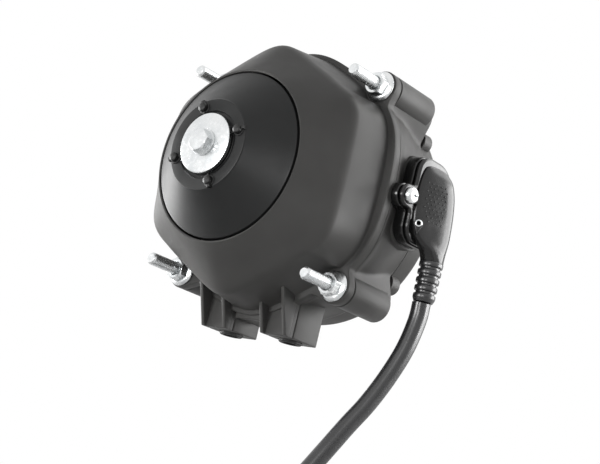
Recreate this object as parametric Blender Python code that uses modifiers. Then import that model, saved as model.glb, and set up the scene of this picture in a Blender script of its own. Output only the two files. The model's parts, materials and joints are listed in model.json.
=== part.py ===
"""Refrigeration fan motor with an external rotor, a six-sided housing, four front studs and a plug-in lead.

Units are metres and +Z is up. The shaft lies along Y and the fan side faces -Y. The origin is on the shaft's
axis, in the plane of the four boss faces that the stud nuts close on. The lead leaves the right side, +X.
A depth below is a distance along +Y from that plane, so what stands in front of it has a negative depth.
"""

import math

import bmesh
import bpy
from mathutils import Matrix, Vector

MM = 0.001
GAP = 0.3 * MM

# Half width across the flats of the cover at its crease. The sizes of the housing follow from it
CREASE_FLAT = 45.0 * MM

# Stud pattern and standard hardware
STUD_PITCH_X = 1.4 * CREASE_FLAT + 13.7 * MM
STUD_PITCH_Z = STUD_PITCH_X + 0.7 * MM
STUD_R = 2.42 * MM
STUD_FRONT = -18.8 * MM
STUD_BACK = 22.0 * MM
M5_ACROSS_FLATS = 8.0 * MM
NUT_HEIGHT = 4.7 * MM
NUT_FLANGE_R = 5.95 * MM
NUT_FLANGE_T = 1.1 * MM
NUT_CLEARANCE = 0.9 * MM

# Six-sided cover: the flats stand upright at left and right, and a corner points up
RIM_R = 33.1 * MM
RIM_DEPTH = -31.3 * MM
RIM_LAND = 0.6 * MM
CREASE_DEPTH = -17.7 * MM
CREASE_POWER = 14.0
CREASE_REACH = 0.14
SKIRT_FLAT = CREASE_FLAT + 3.7 * MM
SKIRT_POWER = 7.5
COVER_WALL = 2.6 * MM
SECTION_POINTS = 48
ROUND_STEPS = 36

# Flange and seam between the two housings
FLANGE_SIDE = SKIRT_FLAT + 3.6 * MM
FLANGE_SLANT = SKIRT_FLAT + 1.7 * MM
FLANGE_POWER = 6.5
FLANGE_EDGE = 0.6 * MM
SEAM = 4.2 * MM
SEAM_HALF = GAP / 2

# Stud bosses, one at each corner, with a web that runs in to the housing
BOSS_R = 6.5 * MM
WEB_LEAN = math.radians(19)
WEB_LENGTH = 15.0 * MM
BOSS_BACK = 27.2 * MM
WEB_BACK = 29.6 * MM
WEB_INSET = 0.98
WEB_SLIM = 0.88

# Feet, one each side of the middle, with two front ribs and a web between them
FOOT_MIDDLE = 15.0 * MM
FOOT_WIDTH = 12.6 * MM
FOOT_UNDER = -SKIRT_FLAT - 10.3 * MM
FOOT_BACK = 18.9 * MM
FOOT_TOP = -SKIRT_FLAT + 8.7 * MM
RIB_T = 1.6 * MM
RIB_INSET = 0.1 * MM
RIB_FOOT_DEPTH = -0.3 * MM
RIB_SLOPE = 0.42
RIB_TOP = -SKIRT_FLAT + 5.7 * MM
FOOT_WEB_DEPTH = 0.7 * MM
BUSH_DEPTH = 10.8 * MM
BUSH_R = 4.5 * MM
BUSH_BORE_R = 3.1 * MM
BUSH_PROUD = 1.0 * MM
BUSH_LENGTH = 11.0 * MM
BRIDGE_WIDTH = 12.6 * MM
BRIDGE_UNDER = -SKIRT_FLAT - 5.6 * MM
BRIDGE_BACK = 16.0 * MM

# Rear housing
TUB_SHOULDER_DEPTH = 8.5 * MM
TUB_SIDE = FLANGE_SIDE - 1.5 * MM
TUB_SLANT = FLANGE_SLANT - 1.2 * MM
TUB_BACK = 30.5 * MM
TUB_BACK_R = TUB_SLANT - 1.8 * MM
TUB_BORE_R = TUB_BACK_R - 4.4 * MM
RING_WEB_FRONT = 8.8 * MM
RING_WEB_BACK = 13.0 * MM
RING_WEB_INSET = 8.2 * MM
RING_WEB_R = TUB_BORE_R - RING_WEB_INSET
CARRIER_R = TUB_BORE_R + 1.4 * MM
CARRIER_T = 2.5 * MM
CLAMP_DEPTH = 1.2 * MM
CLAMP_WIDTH = 1.8 * MM

# Seal in the seam
SEAL_FLAT = FLANGE_SIDE - 3.7 * MM
SEAL_SLANT = FLANGE_SLANT - 3.5 * MM
SEAL_WIDTH = 1.4 * MM
SEAL_T = 0.9 * MM

# Rear cover
COVER_R = TUB_BACK_R - 0.6 * MM
REAR_COVER_DEPTH = 10.2 * MM
REAR_COVER_WALL = 2.4 * MM
REAR_COVER_EDGE = 3.0 * MM
SPIGOT_LENGTH = 3.0 * MM
SPIGOT_WALL = 1.8 * MM
LUG_R = 3.9 * MM
LUG_PITCH_R = COVER_R - 0.4 * MM
LUG_ANGLE = math.radians(38)
LUG_HEIGHT = 5.4 * MM
LUG_PILLAR = 9.0 * MM
LUG_PILLAR_R = 2.9 * MM
COVER_SCREW_R = 1.35 * MM
COVER_SCREW_HEAD_R = 2.9 * MM
COVER_SCREW_HEAD_T = 1.9 * MM
COVER_SCREW_LENGTH = 11.0 * MM

# Rotor
HUB_FACE = -43.1 * MM
HUB_BOSS_FACE_R = 11.4 * MM
HUB_GROOVE_R = 13.0 * MM
HUB_GROOVE_DEEP = 1.0 * MM
HUB_SEAT_R = 17.6 * MM
HUB_SEAT_EDGE = 0.4 * MM
RIM_RUNNING_GAP = 0.9 * MM
HUB_WALL = 3.0 * MM
SKIRT_BACK = -2.6 * MM
SKIRT_R = RIM_R - 1.2 * MM
PEG_COUNT = 4
PEG_R = 1.15 * MM
PEG_PITCH_R = 15.3 * MM
PEG_ANGLE = math.radians(22.3)
PEG_PROUD = 0.8 * MM
PEG_SLOT_WIDTH = 3.6 * MM
PEG_SLOT_DEEP = 1.2 * MM
HUB_BOSS_R = 8.0 * MM
WASHER_R = 11.6 * MM
WASHER_T = 1.5 * MM
BOLT_HEAD_T = 3.5 * MM
BOLT_LENGTH = 16.0 * MM
IRON_T = 2.0 * MM
IRON_FRONT = -29.0 * MM
MAGNET_T = 2.7 * MM
MAGNET_INSET = 2.0 * MM

# Shaft and bearings
SHAFT_R = 4.0 * MM
SHAFT_FRONT = -42.0 * MM
SHAFT_BACK = 9.6 * MM
BEARING_R = 11.0 * MM
BEARING_W = 7.0 * MM
RACE_T = 1.8 * MM
FRONT_BEARING_DEPTH = -28.0 * MM
CARRIER_BACK = RING_WEB_FRONT - GAP
CARRIER_FRONT = CARRIER_BACK - CARRIER_T
BEARING_LIP = 2.0 * MM
REAR_BEARING_DEPTH = CARRIER_BACK - BEARING_LIP - GAP - BEARING_W
WAVE_WASHER_T = 0.5 * MM
RETAINER_T = 1.0 * MM
RETAINER_R = 6.4 * MM
RETAINER_GROOVE = 0.6 * MM

# Stator
TUBE_WALL = 2.4 * MM
TUBE_R = BEARING_R + GAP + TUBE_WALL
CORE_LENGTH = 14.0 * MM
CORE_BACK = -6.8 * MM
CORE_YOKE_T = 2.6 * MM
AIR_GAP = 0.8 * MM
TOOTH_COUNT = 9
TOOTH_WIDTH = 4.2 * MM
TOOTH_TIP_T = 1.6 * MM
SLOT_OPENING = math.radians(8)
WINDING_T = 2.2 * MM
LINK_T = 1.0 * MM
LINK_WIDTH = 1.8 * MM

# Control board
BOARD_R = TUB_BORE_R - 1.2 * MM
BOARD_T = 1.6 * MM
CAN_R = 5.0 * MM
CAN_LENGTH = 11.0 * MM
CAN_PLACES = [(-16.0 * MM, 16.0 * MM), (-16.0 * MM, 3.0 * MM)]
CHOKE_R = 7.0 * MM
CHOKE_WIRE = 2.6 * MM
CHOKE_PLACE = (8.0 * MM, 21.8 * MM - BOARD_R)
MODULE_WIDTH = 14.0 * MM
MODULE_HEIGHT = 22.0 * MM
MODULE_T = 3.4 * MM
MODULE_PLACE = (10.0 * MM, 8.0 * MM)
PILLAR_R = 3.0 * MM
PILLAR_HEIGHT = 2.7 * MM
PILLAR_PITCH_R = BOARD_R - 3.2 * MM
PILLAR_ANGLES = [math.radians(a) for a in (60, 180, 300)]
SMALL_SCREW_R = 1.25 * MM
SMALL_SCREW_HEAD_R = 2.6 * MM
SMALL_SCREW_HEAD_T = 1.6 * MM
SMALL_SCREW_LENGTH = 5.5 * MM

# Inlet socket and plug, on the right side
INLET_SEAT = TUB_SIDE - 0.6 * MM
INLET_RISE = 4.1 * MM
INLET_MIDDLE_DEPTH = RING_WEB_BACK + PILLAR_HEIGHT + BOARD_T + INLET_RISE
INLET_WIDTH = 23.6 * MM
INLET_HEIGHT = 33.4 * MM
INLET_CORNER = 6.5 * MM
INLET_BACK_CORNER = 11.5 * MM
LOBE_DEPTH = INLET_MIDDLE_DEPTH - 14.4 * MM
LOBE_R = 4.6 * MM
LOBE_Z = -0.7 * MM
SOCKET_T = 4.4 * MM
SOCKET_FLOOR = 2.0 * MM
SOCKET_POCKET_WIDTH = 14.6 * MM
SOCKET_POCKET_HEIGHT = 23.0 * MM
PLUG_FLANGE_T = 2.0 * MM
PLUG_NOSE_LENGTH = 2.6 * MM
PLUG_SCREW_R = 1.6 * MM
PLUG_SCREW_HEAD_R = 3.2 * MM
PLUG_SCREW_HEAD_T = 1.9 * MM
PLUG_SCREW_LENGTH = 11.0 * MM
PIN_R = 1.0 * MM
PIN_PITCH = 7.0 * MM
PIN_TAIL = 8.5 * MM
PIN_BEND = 3.0 * MM
WIRE_HOLE_WIDTH = 6.0 * MM
WIRE_HOLE_HEIGHT = 19.0 * MM

# Plug body down its length: (height, distance in from the neck's line, depth, half width, front, back).
# Front and back are its thickness to each side of that line, away from the housing and toward it
PLUG_NECK_X = INLET_SEAT + 10.1 * MM
PLUG_STATIONS = [
    (12.8 * MM, 2.9 * MM, 17.4 * MM, 1.6 * MM, 2.2 * MM, 0.9 * MM),
    (11.6 * MM, 2.9 * MM, 17.6 * MM, 4.0 * MM, 3.2 * MM, 0.9 * MM),
    (8.6 * MM, 2.8 * MM, 18.3 * MM, 6.9 * MM, 3.9 * MM, 1.0 * MM),
    (3.0 * MM, 2.7 * MM, 19.4 * MM, 8.5 * MM, 4.2 * MM, 1.1 * MM),
    (-3.0 * MM, 2.6 * MM, 20.1 * MM, 9.2 * MM, 4.3 * MM, 1.3 * MM),
    (-7.5 * MM, 2.2 * MM, 20.8 * MM, 9.1 * MM, 4.3 * MM, 1.8 * MM),
    (-12.0 * MM, 1.2 * MM, 22.6 * MM, 7.8 * MM, 4.0 * MM, 2.6 * MM),
    (-16.0 * MM, 0.3 * MM, 24.0 * MM, 5.6 * MM, 4.1 * MM, 3.7 * MM),
    (-20.6 * MM, 0.0 * MM, 24.5 * MM, 4.2 * MM, 4.1 * MM, 4.1 * MM),
]
PLUG_CORNER_POWER = 3.2

# Lead: the strain relief hangs below the plug body
CORD_R = 3.5 * MM
RELIEF_TOP_R = 4.3 * MM
RELIEF_END_R = 3.9 * MM
RELIEF_LENGTH = 15.2 * MM
RELIEF_RIBS = 5
RELIEF_GROOVE = 0.7 * MM
RELIEF_DEPTH = 24.5 * MM

# Surface below that the lead comes down to, and the coil that lies there
SURFACE = -156.2 * MM
COIL_MIDDLE = Vector((PLUG_NECK_X - 68.5 * MM, 13.1 * MM))
COIL_LAYERS = 3
TURN_GAP = 0.2 * MM
TIE_T = 0.8 * MM
TIE_WIDTH = 5.0 * MM
TIE_ANGLES = [math.radians(a) for a in (20, 140)]
COIL_R = 38.6 * MM
COIL_START = math.radians(-45.7)
LANDED_TO = math.radians(26)
TAIL_R = COIL_R - 8.2 * MM
TAIL_FROM = math.radians(22)
TAIL_TO = math.radians(60)
SLEEVE_R = 4.3 * MM
SLEEVE_LENGTH = 14.0 * MM
CORE_R = 1.2 * MM
CORE_LENGTH_OUT = 26.0 * MM
CORE_SPREAD = 2.7 * MM

# The lead's free stretch, chosen by hand: down from the relief, forward and left, and onto the coil.
# Each point is (distance in from the neck's line, depth, height)
LEAD_ROUTE = [
    (0.1 * MM, 24.6 * MM, -36.4 * MM),
    (0.5 * MM, 24.9 * MM, -43.1 * MM),
    (2.1 * MM, 23.5 * MM, -54.4 * MM),
    (5.2 * MM, 20.9 * MM, -66.1 * MM),
    (8.8 * MM, 17.5 * MM, -77.0 * MM),
    (12.6 * MM, 13.9 * MM, -86.2 * MM),
    (16.3 * MM, 10.1 * MM, -96.0 * MM),
    (20.2 * MM, 6.3 * MM, -106.0 * MM),
    (24.0 * MM, 2.6 * MM, -115.6 * MM),
    (28.7 * MM, -1.9 * MM, -123.5 * MM),
    (34.7 * MM, -7.8 * MM, -128.3 * MM),
]
LEAD_STEP = 2.0 * MM

FACING = {
    "front": Matrix.Rotation(math.radians(90), 4, "X"),
    "back": Matrix.Rotation(math.radians(-90), 4, "X"),
    "up": Matrix.Identity(4),
    "right": Matrix(((0, 0, 1, 0), (1, 0, 0, 0), (0, 1, 0, 0), (0, 0, 0, 1))),
}


def clear_scene():
    for old in list(bpy.data.objects):
        bpy.data.objects.remove(old, do_unlink=True)


def new_collection(name):
    made = bpy.data.collections.new(name)
    bpy.context.scene.collection.children.link(made)
    return made


clear_scene()
MOTOR = new_collection("refrigeration_motor")
CUTTERS = new_collection("cutters")


def material(name, colour, roughness, metallic=0.0):
    made = bpy.data.materials.new(name)
    made.use_nodes = True
    shader = made.node_tree.nodes["Principled BSDF"]
    shader.inputs["Base Color"].default_value = (*colour, 1.0)
    shader.inputs["Roughness"].default_value = roughness
    shader.inputs["Metallic"].default_value = metallic
    made.diffuse_color = (*colour, 1.0)
    return made


def place(name, mesh, finish=None, at=(0, 0, 0), facing="up"):
    """Links a mesh as a part, or as a cutter when it has no finish."""
    made = bpy.data.objects.new(name, mesh)
    made.matrix_world = Matrix.Translation(at) @ FACING[facing]
    if finish is None:
        CUTTERS.objects.link(made)
        made.hide_render = True
        made.display_type = "WIRE"
        return made
    MOTOR.objects.link(made)
    mesh.materials.clear()
    mesh.materials.append(finish)
    return made


def smooth(mesh, degrees=35):
    mesh.shade_smooth()
    mesh.set_sharp_from_angle(angle=math.radians(degrees))


def mesh_from(build, name):
    shape = bmesh.new()
    build(shape)
    made = bpy.data.meshes.new(name)
    shape.to_mesh(made)
    shape.free()
    return made


def box(name, low, high, finish=None):
    size = Vector(high) - Vector(low)
    middle = (Vector(high) + Vector(low)) / 2

    def build(shape):
        bmesh.ops.create_cube(shape, size=1.0)
        bmesh.ops.scale(shape, vec=size, verts=shape.verts)
        bmesh.ops.translate(shape, vec=middle, verts=shape.verts)

    return place(name, mesh_from(build, name), finish)


def rod(name, radius, start, end, finish=None, across=(0, 0), facing="front", sides=12):
    """A cylinder from start to end, measured along the axis, centred on across."""

    def build(shape):
        bmesh.ops.create_cone(
            shape,
            cap_ends=True,
            segments=sides,
            radius1=radius,
            radius2=radius,
            depth=end - start,
            matrix=Matrix.Rotation(math.pi / sides, 4, "Z"),
        )

    mesh = mesh_from(build, name)
    smooth(mesh)
    middle = (start + end) / 2
    at = {
        "front": (across[0], middle, across[1]),
        "right": (middle, across[0], across[1]),
        "up": (across[0], across[1], middle),
    }[facing]
    return place(name, mesh, finish, at, facing)


def turned(name, profile, finish=None, at=(0, 0, 0), facing="front", steps=24):
    """A profile of (radius, depth) turned about the axis, its outer side given from the front to the back."""
    on_axis = profile[0][0] == 0 and profile[-1][0] == 0

    def build(shape):
        points = [shape.verts.new((r, 0, -depth)) for r, depth in profile]
        for a, b in zip(points, points[1:]):
            shape.edges.new((a, b))
        if not on_axis:
            shape.edges.new((points[-1], points[0]))

    made = place(name, mesh_from(build, name), finish, at, facing)
    screw = made.modifiers.new("turn", "SCREW")
    screw.axis = "Z"
    screw.steps = steps
    screw.render_steps = steps
    screw.use_merge_vertices = True
    screw.merge_threshold = 0.00001
    screw.use_smooth_shade = False
    return made


def evaluated_mesh(made, name):
    bpy.context.view_layer.update()
    graph = bpy.context.evaluated_depsgraph_get()
    return bpy.data.meshes.new_from_object(made.evaluated_get(graph))


def weld(mesh):
    shape = bmesh.new()
    shape.from_mesh(mesh)
    bmesh.ops.remove_doubles(shape, verts=shape.verts, dist=0.000001)
    shape.to_mesh(mesh)
    shape.free()


def curve_mesh(curve, name):
    """The mesh of a curve with its caps welded on. The curve object is removed."""
    made = bpy.data.objects.new(name + "_curve", curve)
    CUTTERS.objects.link(made)
    mesh = evaluated_mesh(made, name)
    weld(mesh)
    mesh.name = name
    bpy.data.objects.remove(made, do_unlink=True)
    return mesh


def prism(name, outline, start, end, finish=None, facing="front"):
    """A flat closed outline drawn across the axis and extruded along it, from start to end."""
    curve = bpy.data.curves.new(name, "CURVE")
    curve.dimensions = "2D"
    curve.fill_mode = "BOTH"
    curve.extrude = (end - start) / 2
    line = curve.splines.new("POLY")
    line.points.add(len(outline) - 1)
    for point, (u, v) in zip(line.points, outline):
        point.co = (u, v, 0, 1)
    line.use_cyclic_u = True
    middle = (start + end) / 2
    at = {"front": (0, middle, 0), "right": (middle, 0, 0), "up": (0, 0, middle)}[facing]
    mesh = curve_mesh(curve, name)
    smooth(mesh)
    return place(name, mesh, finish, at, facing)


def tube(name, points, radius, finish):
    """A wire or cord: a curve with a bevel and filled caps."""
    curve = bpy.data.curves.new(name, "CURVE")
    curve.dimensions = "3D"
    curve.bevel_depth = radius
    curve.bevel_resolution = 2
    curve.use_fill_caps = True
    line = curve.splines.new("POLY")
    line.points.add(len(points) - 1)
    for point, co in zip(line.points, points):
        point.co = (*co, 1)
    mesh = curve_mesh(curve, name)
    smooth(mesh)
    return place(name, mesh, finish)


def loft(name, rings, finish=None):
    """A closed skin over a row of rings that have the same number of points."""

    def build(shape):
        rows = [[shape.verts.new(co) for co in ring] for ring in rings]
        for near, far in zip(rows, rows[1:]):
            for k in range(len(near)):
                after = (k + 1) % len(near)
                shape.faces.new((near[k], near[after], far[after], far[k]))
        shape.faces.new(rows[0])
        shape.faces.new(rows[-1])
        bmesh.ops.recalc_face_normals(shape, faces=shape.faces)

    mesh = mesh_from(build, name)
    smooth(mesh, 30)
    return place(name, mesh, finish)


def hex_band(name, half, start, end, finish=None):
    """A six-sided hoop that follows the seal's line, half its width to each side of it."""
    rings = [
        hex_ring(start, SEAL_FLAT - half, SEAL_SLANT - half, FLANGE_POWER),
        hex_ring(start, SEAL_FLAT + half, SEAL_SLANT + half, FLANGE_POWER),
        hex_ring(end, SEAL_FLAT + half, SEAL_SLANT + half, FLANGE_POWER),
        hex_ring(end, SEAL_FLAT - half, SEAL_SLANT - half, FLANGE_POWER),
    ]

    def build(shape):
        rows = [[shape.verts.new(co) for co in ring] for ring in rings]
        for near, far in zip(rows, rows[1:] + rows[:1]):
            for k in range(len(near)):
                after = (k + 1) % len(near)
                shape.faces.new((near[k], near[after], far[after], far[k]))
        bmesh.ops.recalc_face_normals(shape, faces=shape.faces)

    mesh = mesh_from(build, name)
    smooth(mesh)
    return place(name, mesh, finish)


def change(target, tool, operation):
    step = target.modifiers.new(tool.name, "BOOLEAN")
    step.operation = operation
    step.solver = "EXACT"
    step.object = tool
    return target


def join(target, tool):
    return change(target, tool, "UNION")


def cut(target, tool):
    return change(target, tool, "DIFFERENCE")


def copies(name, source, places, finish):
    """Parts that share the evaluated mesh of a pattern piece, one at each of the places."""
    mesh = evaluated_mesh(source, name)
    mesh.transform(source.matrix_world)
    smooth(mesh)
    mesh.materials.clear()
    mesh.materials.append(finish)
    for number, at in enumerate(places, 1):
        piece = bpy.data.objects.new(f"{name}_{number}", mesh)
        piece.location = at
        MOTOR.objects.link(piece)


def spread(name, source, count):
    """A cutter made of copies of a solid, turned evenly about the shaft's axis."""
    shape = bmesh.new()
    for angle in angles(count):
        mesh = evaluated_mesh(source, name)
        mesh.transform(Matrix.Rotation(-angle, 4, "Y") @ source.matrix_world)
        shape.from_mesh(mesh)
    made = bpy.data.meshes.new(name)
    shape.to_mesh(made)
    shape.free()
    return place(name, made)


def angles(count):
    return [2 * math.pi * k / count for k in range(count)]


def polar(radius, angle):
    return (radius * math.cos(angle), radius * math.sin(angle))


def circle(radius, across=(0, 0), sides=24):
    return [
        (across[0] + radius * math.cos(a), across[1] + radius * math.sin(a))
        for a in angles(sides)
    ]


def hex_radius(angle, side, slant, power):
    """How far a six-sided outline reaches at an angle. A low power gives rounder corners."""
    reach = 0.0
    for k, flat in enumerate((side, slant, slant)):
        reach += (abs(math.cos(angle - k * math.pi / 3)) / flat) ** power
    return reach ** (-1 / power)


def hex_ring(depth, side, slant, power):
    ring = []
    for angle in angles(SECTION_POINTS):
        x, z = polar(hex_radius(angle, side, slant, power), angle)
        ring.append((x, depth, z))
    return ring


def round_ring(depth, radius):
    return [(x, depth, z) for x, z in circle(radius, sides=SECTION_POINTS)]


def between(near, far, share):
    return [Vector(a).lerp(Vector(b), share) for a, b in zip(near, far)]


def rounded_crease(rim, crease, foot, steps=3):
    """Rings from the rim over the softened crease to the foot of the cover's sides."""
    into = between(crease, rim, CREASE_REACH)
    out = between(crease, foot, CREASE_REACH)
    rings = [rim, between(rim, crease, 0.4)]
    for k in range(steps + 1):
        share = k / steps
        rings.append(
            between(between(into, crease, share), between(crease, out, share), share)
        )
    return [*rings, foot]


def smooth_route(points, step):
    """Points about a step apart on a smooth curve through the given ones."""
    ends = [points[0], *points, points[-1]]
    made = []
    for before, a, b, after in zip(ends, ends[1:], ends[2:], ends[3:]):
        before, a, b, after = (Vector(p) for p in (before, a, b, after))
        parts = max(1, round((b - a).length / step))
        for k in range(parts):
            t = k / parts
            bend = (before * -1 + 3 * a - 3 * b + after) * t**3
            lean = (2 * before - 5 * a + 4 * b - after) * t**2
            made.append((bend + lean + (b - before) * t + 2 * a) / 2)
    return [*made, Vector(points[-1])]


def stud_places():
    return [
        (side * STUD_PITCH_X / 2, 0, level * STUD_PITCH_Z / 2)
        for level in (1, -1)
        for side in (-1, 1)
    ]


PLASTIC = material("charcoal_plastic", (0.075, 0.073, 0.072), 0.55)
ROTOR_PLASTIC = material("rotor_plastic", (0.065, 0.067, 0.068), 0.42)
INLET_PLASTIC = material("black_gloss_plastic", (0.012, 0.012, 0.014), 0.2)
ZINC = material("bright_zinc", (0.78, 0.79, 0.80), 0.25, 1.0)
STEEL = material("ground_steel", (0.62, 0.62, 0.63), 0.3, 1.0)
IRON = material("electrical_steel", (0.32, 0.32, 0.34), 0.5, 1.0)
MAGNET = material("ferrite_magnet", (0.09, 0.09, 0.10), 0.7)
COPPER = material("enamelled_copper", (0.62, 0.25, 0.10), 0.35, 1.0)
RUBBER = material("black_rubber", (0.03, 0.03, 0.03), 0.7)
BOARD_GREEN = material("board_green", (0.03, 0.20, 0.09), 0.45)
CAN_GREY = material("component_grey", (0.20, 0.20, 0.22), 0.4)
BRASS = material("tinned_brass", (0.70, 0.58, 0.32), 0.3, 1.0)
LEAD_BLACK = material("lead_black", (0.02, 0.02, 0.022), 0.35)
LEAD_BROWN = material("lead_brown", (0.22, 0.09, 0.04), 0.45)
LEAD_BLUE = material("lead_blue", (0.04, 0.16, 0.50), 0.45)
LEAD_GREEN = material("lead_green", (0.10, 0.42, 0.12), 0.45)


def boss_outline(place_at, radius=BOSS_R):
    """Round outer corner of a stud boss, with two sides that run in to the housing."""
    x, _, z = place_at
    toward = math.atan2(z, x)
    half_arc = math.pi / 4 + WEB_LEAN
    arc = [
        (
            x + radius * math.cos(toward + turn),
            z + radius * math.sin(toward + turn),
        )
        for turn in [half_arc * (k / 5 - 1) for k in range(11)]
    ]
    ends = []
    for turn in (half_arc, -half_arc):
        along = toward + turn + math.copysign(math.pi / 2, turn)
        start = arc[-1] if turn > 0 else arc[0]
        ends.append(
            (
                start[0] + WEB_LENGTH * math.cos(along),
                start[1] + WEB_LENGTH * math.sin(along),
            )
        )
    return [*arc, *ends]


def foot_low(side):
    return side * FOOT_MIDDLE - FOOT_WIDTH / 2


def rib_outline():
    """Side view of a foot's front rib, as (depth, height)."""
    reach = (RIB_TOP - FOOT_UNDER) * RIB_SLOPE
    return [
        (RIB_FOOT_DEPTH, FOOT_UNDER),
        (FOOT_WEB_DEPTH + GAP, FOOT_UNDER),
        (FOOT_WEB_DEPTH + GAP, RIB_TOP),
        (RIB_FOOT_DEPTH - reach, RIB_TOP),
    ]


def build_front_housing():
    """Six-sided cover, flange, boss fronts and foot fronts, moulded as one shell."""
    back = SEAM - SEAM_HALF
    rim = round_ring(RIM_DEPTH, RIM_R + RIM_LAND)
    crease = hex_ring(CREASE_DEPTH, CREASE_FLAT, CREASE_FLAT, CREASE_POWER)
    foot = hex_ring(GAP, SKIRT_FLAT, SKIRT_FLAT - GAP, SKIRT_POWER)
    housing = loft("front_housing", rounded_crease(rim, crease, foot), PLASTIC)
    flange = loft(
        "flange_solid",
        [
            hex_ring(0, FLANGE_SIDE - FLANGE_EDGE, FLANGE_SLANT - FLANGE_EDGE, FLANGE_POWER),
            hex_ring(FLANGE_EDGE, FLANGE_SIDE, FLANGE_SLANT, FLANGE_POWER),
            hex_ring(SEAM + SEAM_HALF, FLANGE_SIDE, FLANGE_SLANT, FLANGE_POWER),
        ],
    )
    join(housing, flange)
    for number, at in enumerate(stud_places(), 1):
        join(housing, prism(f"front_boss_{number}", boss_outline(at), 0, SEAM + GAP))
    for number, side in enumerate((-1, 1), 1):
        low = foot_low(side)
        web = box(
            f"foot_front_{number}",
            (low, FOOT_WEB_DEPTH, FOOT_UNDER),
            (low + FOOT_WIDTH, SEAM, FOOT_TOP),
        )
        join(housing, web)
        for edge in (low + RIB_INSET, low + FOOT_WIDTH - RIB_T - RIB_INSET):
            rib = prism(f"rib_{number}_{edge:.4f}", rib_outline(), edge, edge + RIB_T, facing="right")
            join(housing, rib)
    bridge = box(
        "bridge_front",
        (-BRIDGE_WIDTH / 2, FLANGE_EDGE + GAP, BRIDGE_UNDER),
        (BRIDGE_WIDTH / 2, SEAM, FOOT_TOP),
    )
    join(housing, bridge)
    beyond = BOSS_BACK * 3
    cut(housing, box("front_seam_trim", (-beyond, back, -beyond), (beyond, beyond, beyond)))
    inner_crease = CREASE_FLAT - COVER_WALL
    inside = loft(
        "cover_inside",
        [
            round_ring(RIM_DEPTH + COVER_WALL * 0.5, RIM_R - COVER_WALL * 0.6),
            hex_ring(CREASE_DEPTH + COVER_WALL * 0.7, inner_crease, inner_crease, CREASE_POWER),
            hex_ring(CLAMP_DEPTH, SKIRT_FLAT - COVER_WALL, SKIRT_FLAT - COVER_WALL, SKIRT_POWER),
        ],
    )
    cut(housing, inside)
    clamp_r = CARRIER_R - CLAMP_WIDTH
    cut(housing, rod("clamp_opening", clamp_r, CLAMP_DEPTH - GAP, SEAM * 2, sides=ROUND_STEPS))
    cut(housing, rod("rotor_opening", RIM_R, RIM_DEPTH * 1.2, CREASE_DEPTH, sides=ROUND_STEPS))
    room = NUT_FLANGE_R + NUT_CLEARANCE
    for number, (x, _, z) in enumerate(stud_places(), 1):
        pocket = rod(f"nut_pocket_{number}", room, CREASE_DEPTH, -GAP / 2, across=(x, z), sides=24)
        cut(housing, pocket)
        hole = rod(f"front_stud_hole_{number}", STUD_R + GAP, -SEAM, SEAM * 2, across=(x, z))
        cut(housing, hole)
    return housing


def inlet_outline(grow=0.0):
    """Outline of the inlet, as (depth, height): a rounded plate with a screw lobe in front."""
    half_w = INLET_WIDTH / 2
    half_h = INLET_HEIGHT / 2
    points = []
    for quarter, (sy, sz) in enumerate(((1, 1), (-1, 1), (-1, -1), (1, -1))):
        corner = INLET_BACK_CORNER if sy > 0 else INLET_CORNER
        middle = (
            INLET_MIDDLE_DEPTH + sy * (half_w - corner),
            sz * (half_h - corner),
        )
        for k in range(6):
            turn = math.pi / 2 * (quarter + k / 5)
            points.append(
                (
                    middle[0] + (corner + grow) * math.cos(turn),
                    middle[1] + (corner + grow) * math.sin(turn),
                )
            )
        if quarter == 1:
            neck = INLET_MIDDLE_DEPTH - half_w - grow
            points.append((neck, LOBE_Z + LOBE_R + grow))
            for k in range(9):
                turn = math.pi / 2 + math.pi * k / 8
                points.append(
                    (
                        LOBE_DEPTH + (LOBE_R + grow) * math.cos(turn),
                        LOBE_Z + (LOBE_R + grow) * math.sin(turn),
                    )
                )
            points.append((neck, LOBE_Z - LOBE_R - grow))
    return points


def lug_places():
    return [
        (sx * LUG_PITCH_R * math.cos(LUG_ANGLE), sz * LUG_PITCH_R * math.sin(LUG_ANGLE))
        for sx in (-1, 1)
        for sz in (-1, 1)
    ]


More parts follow.
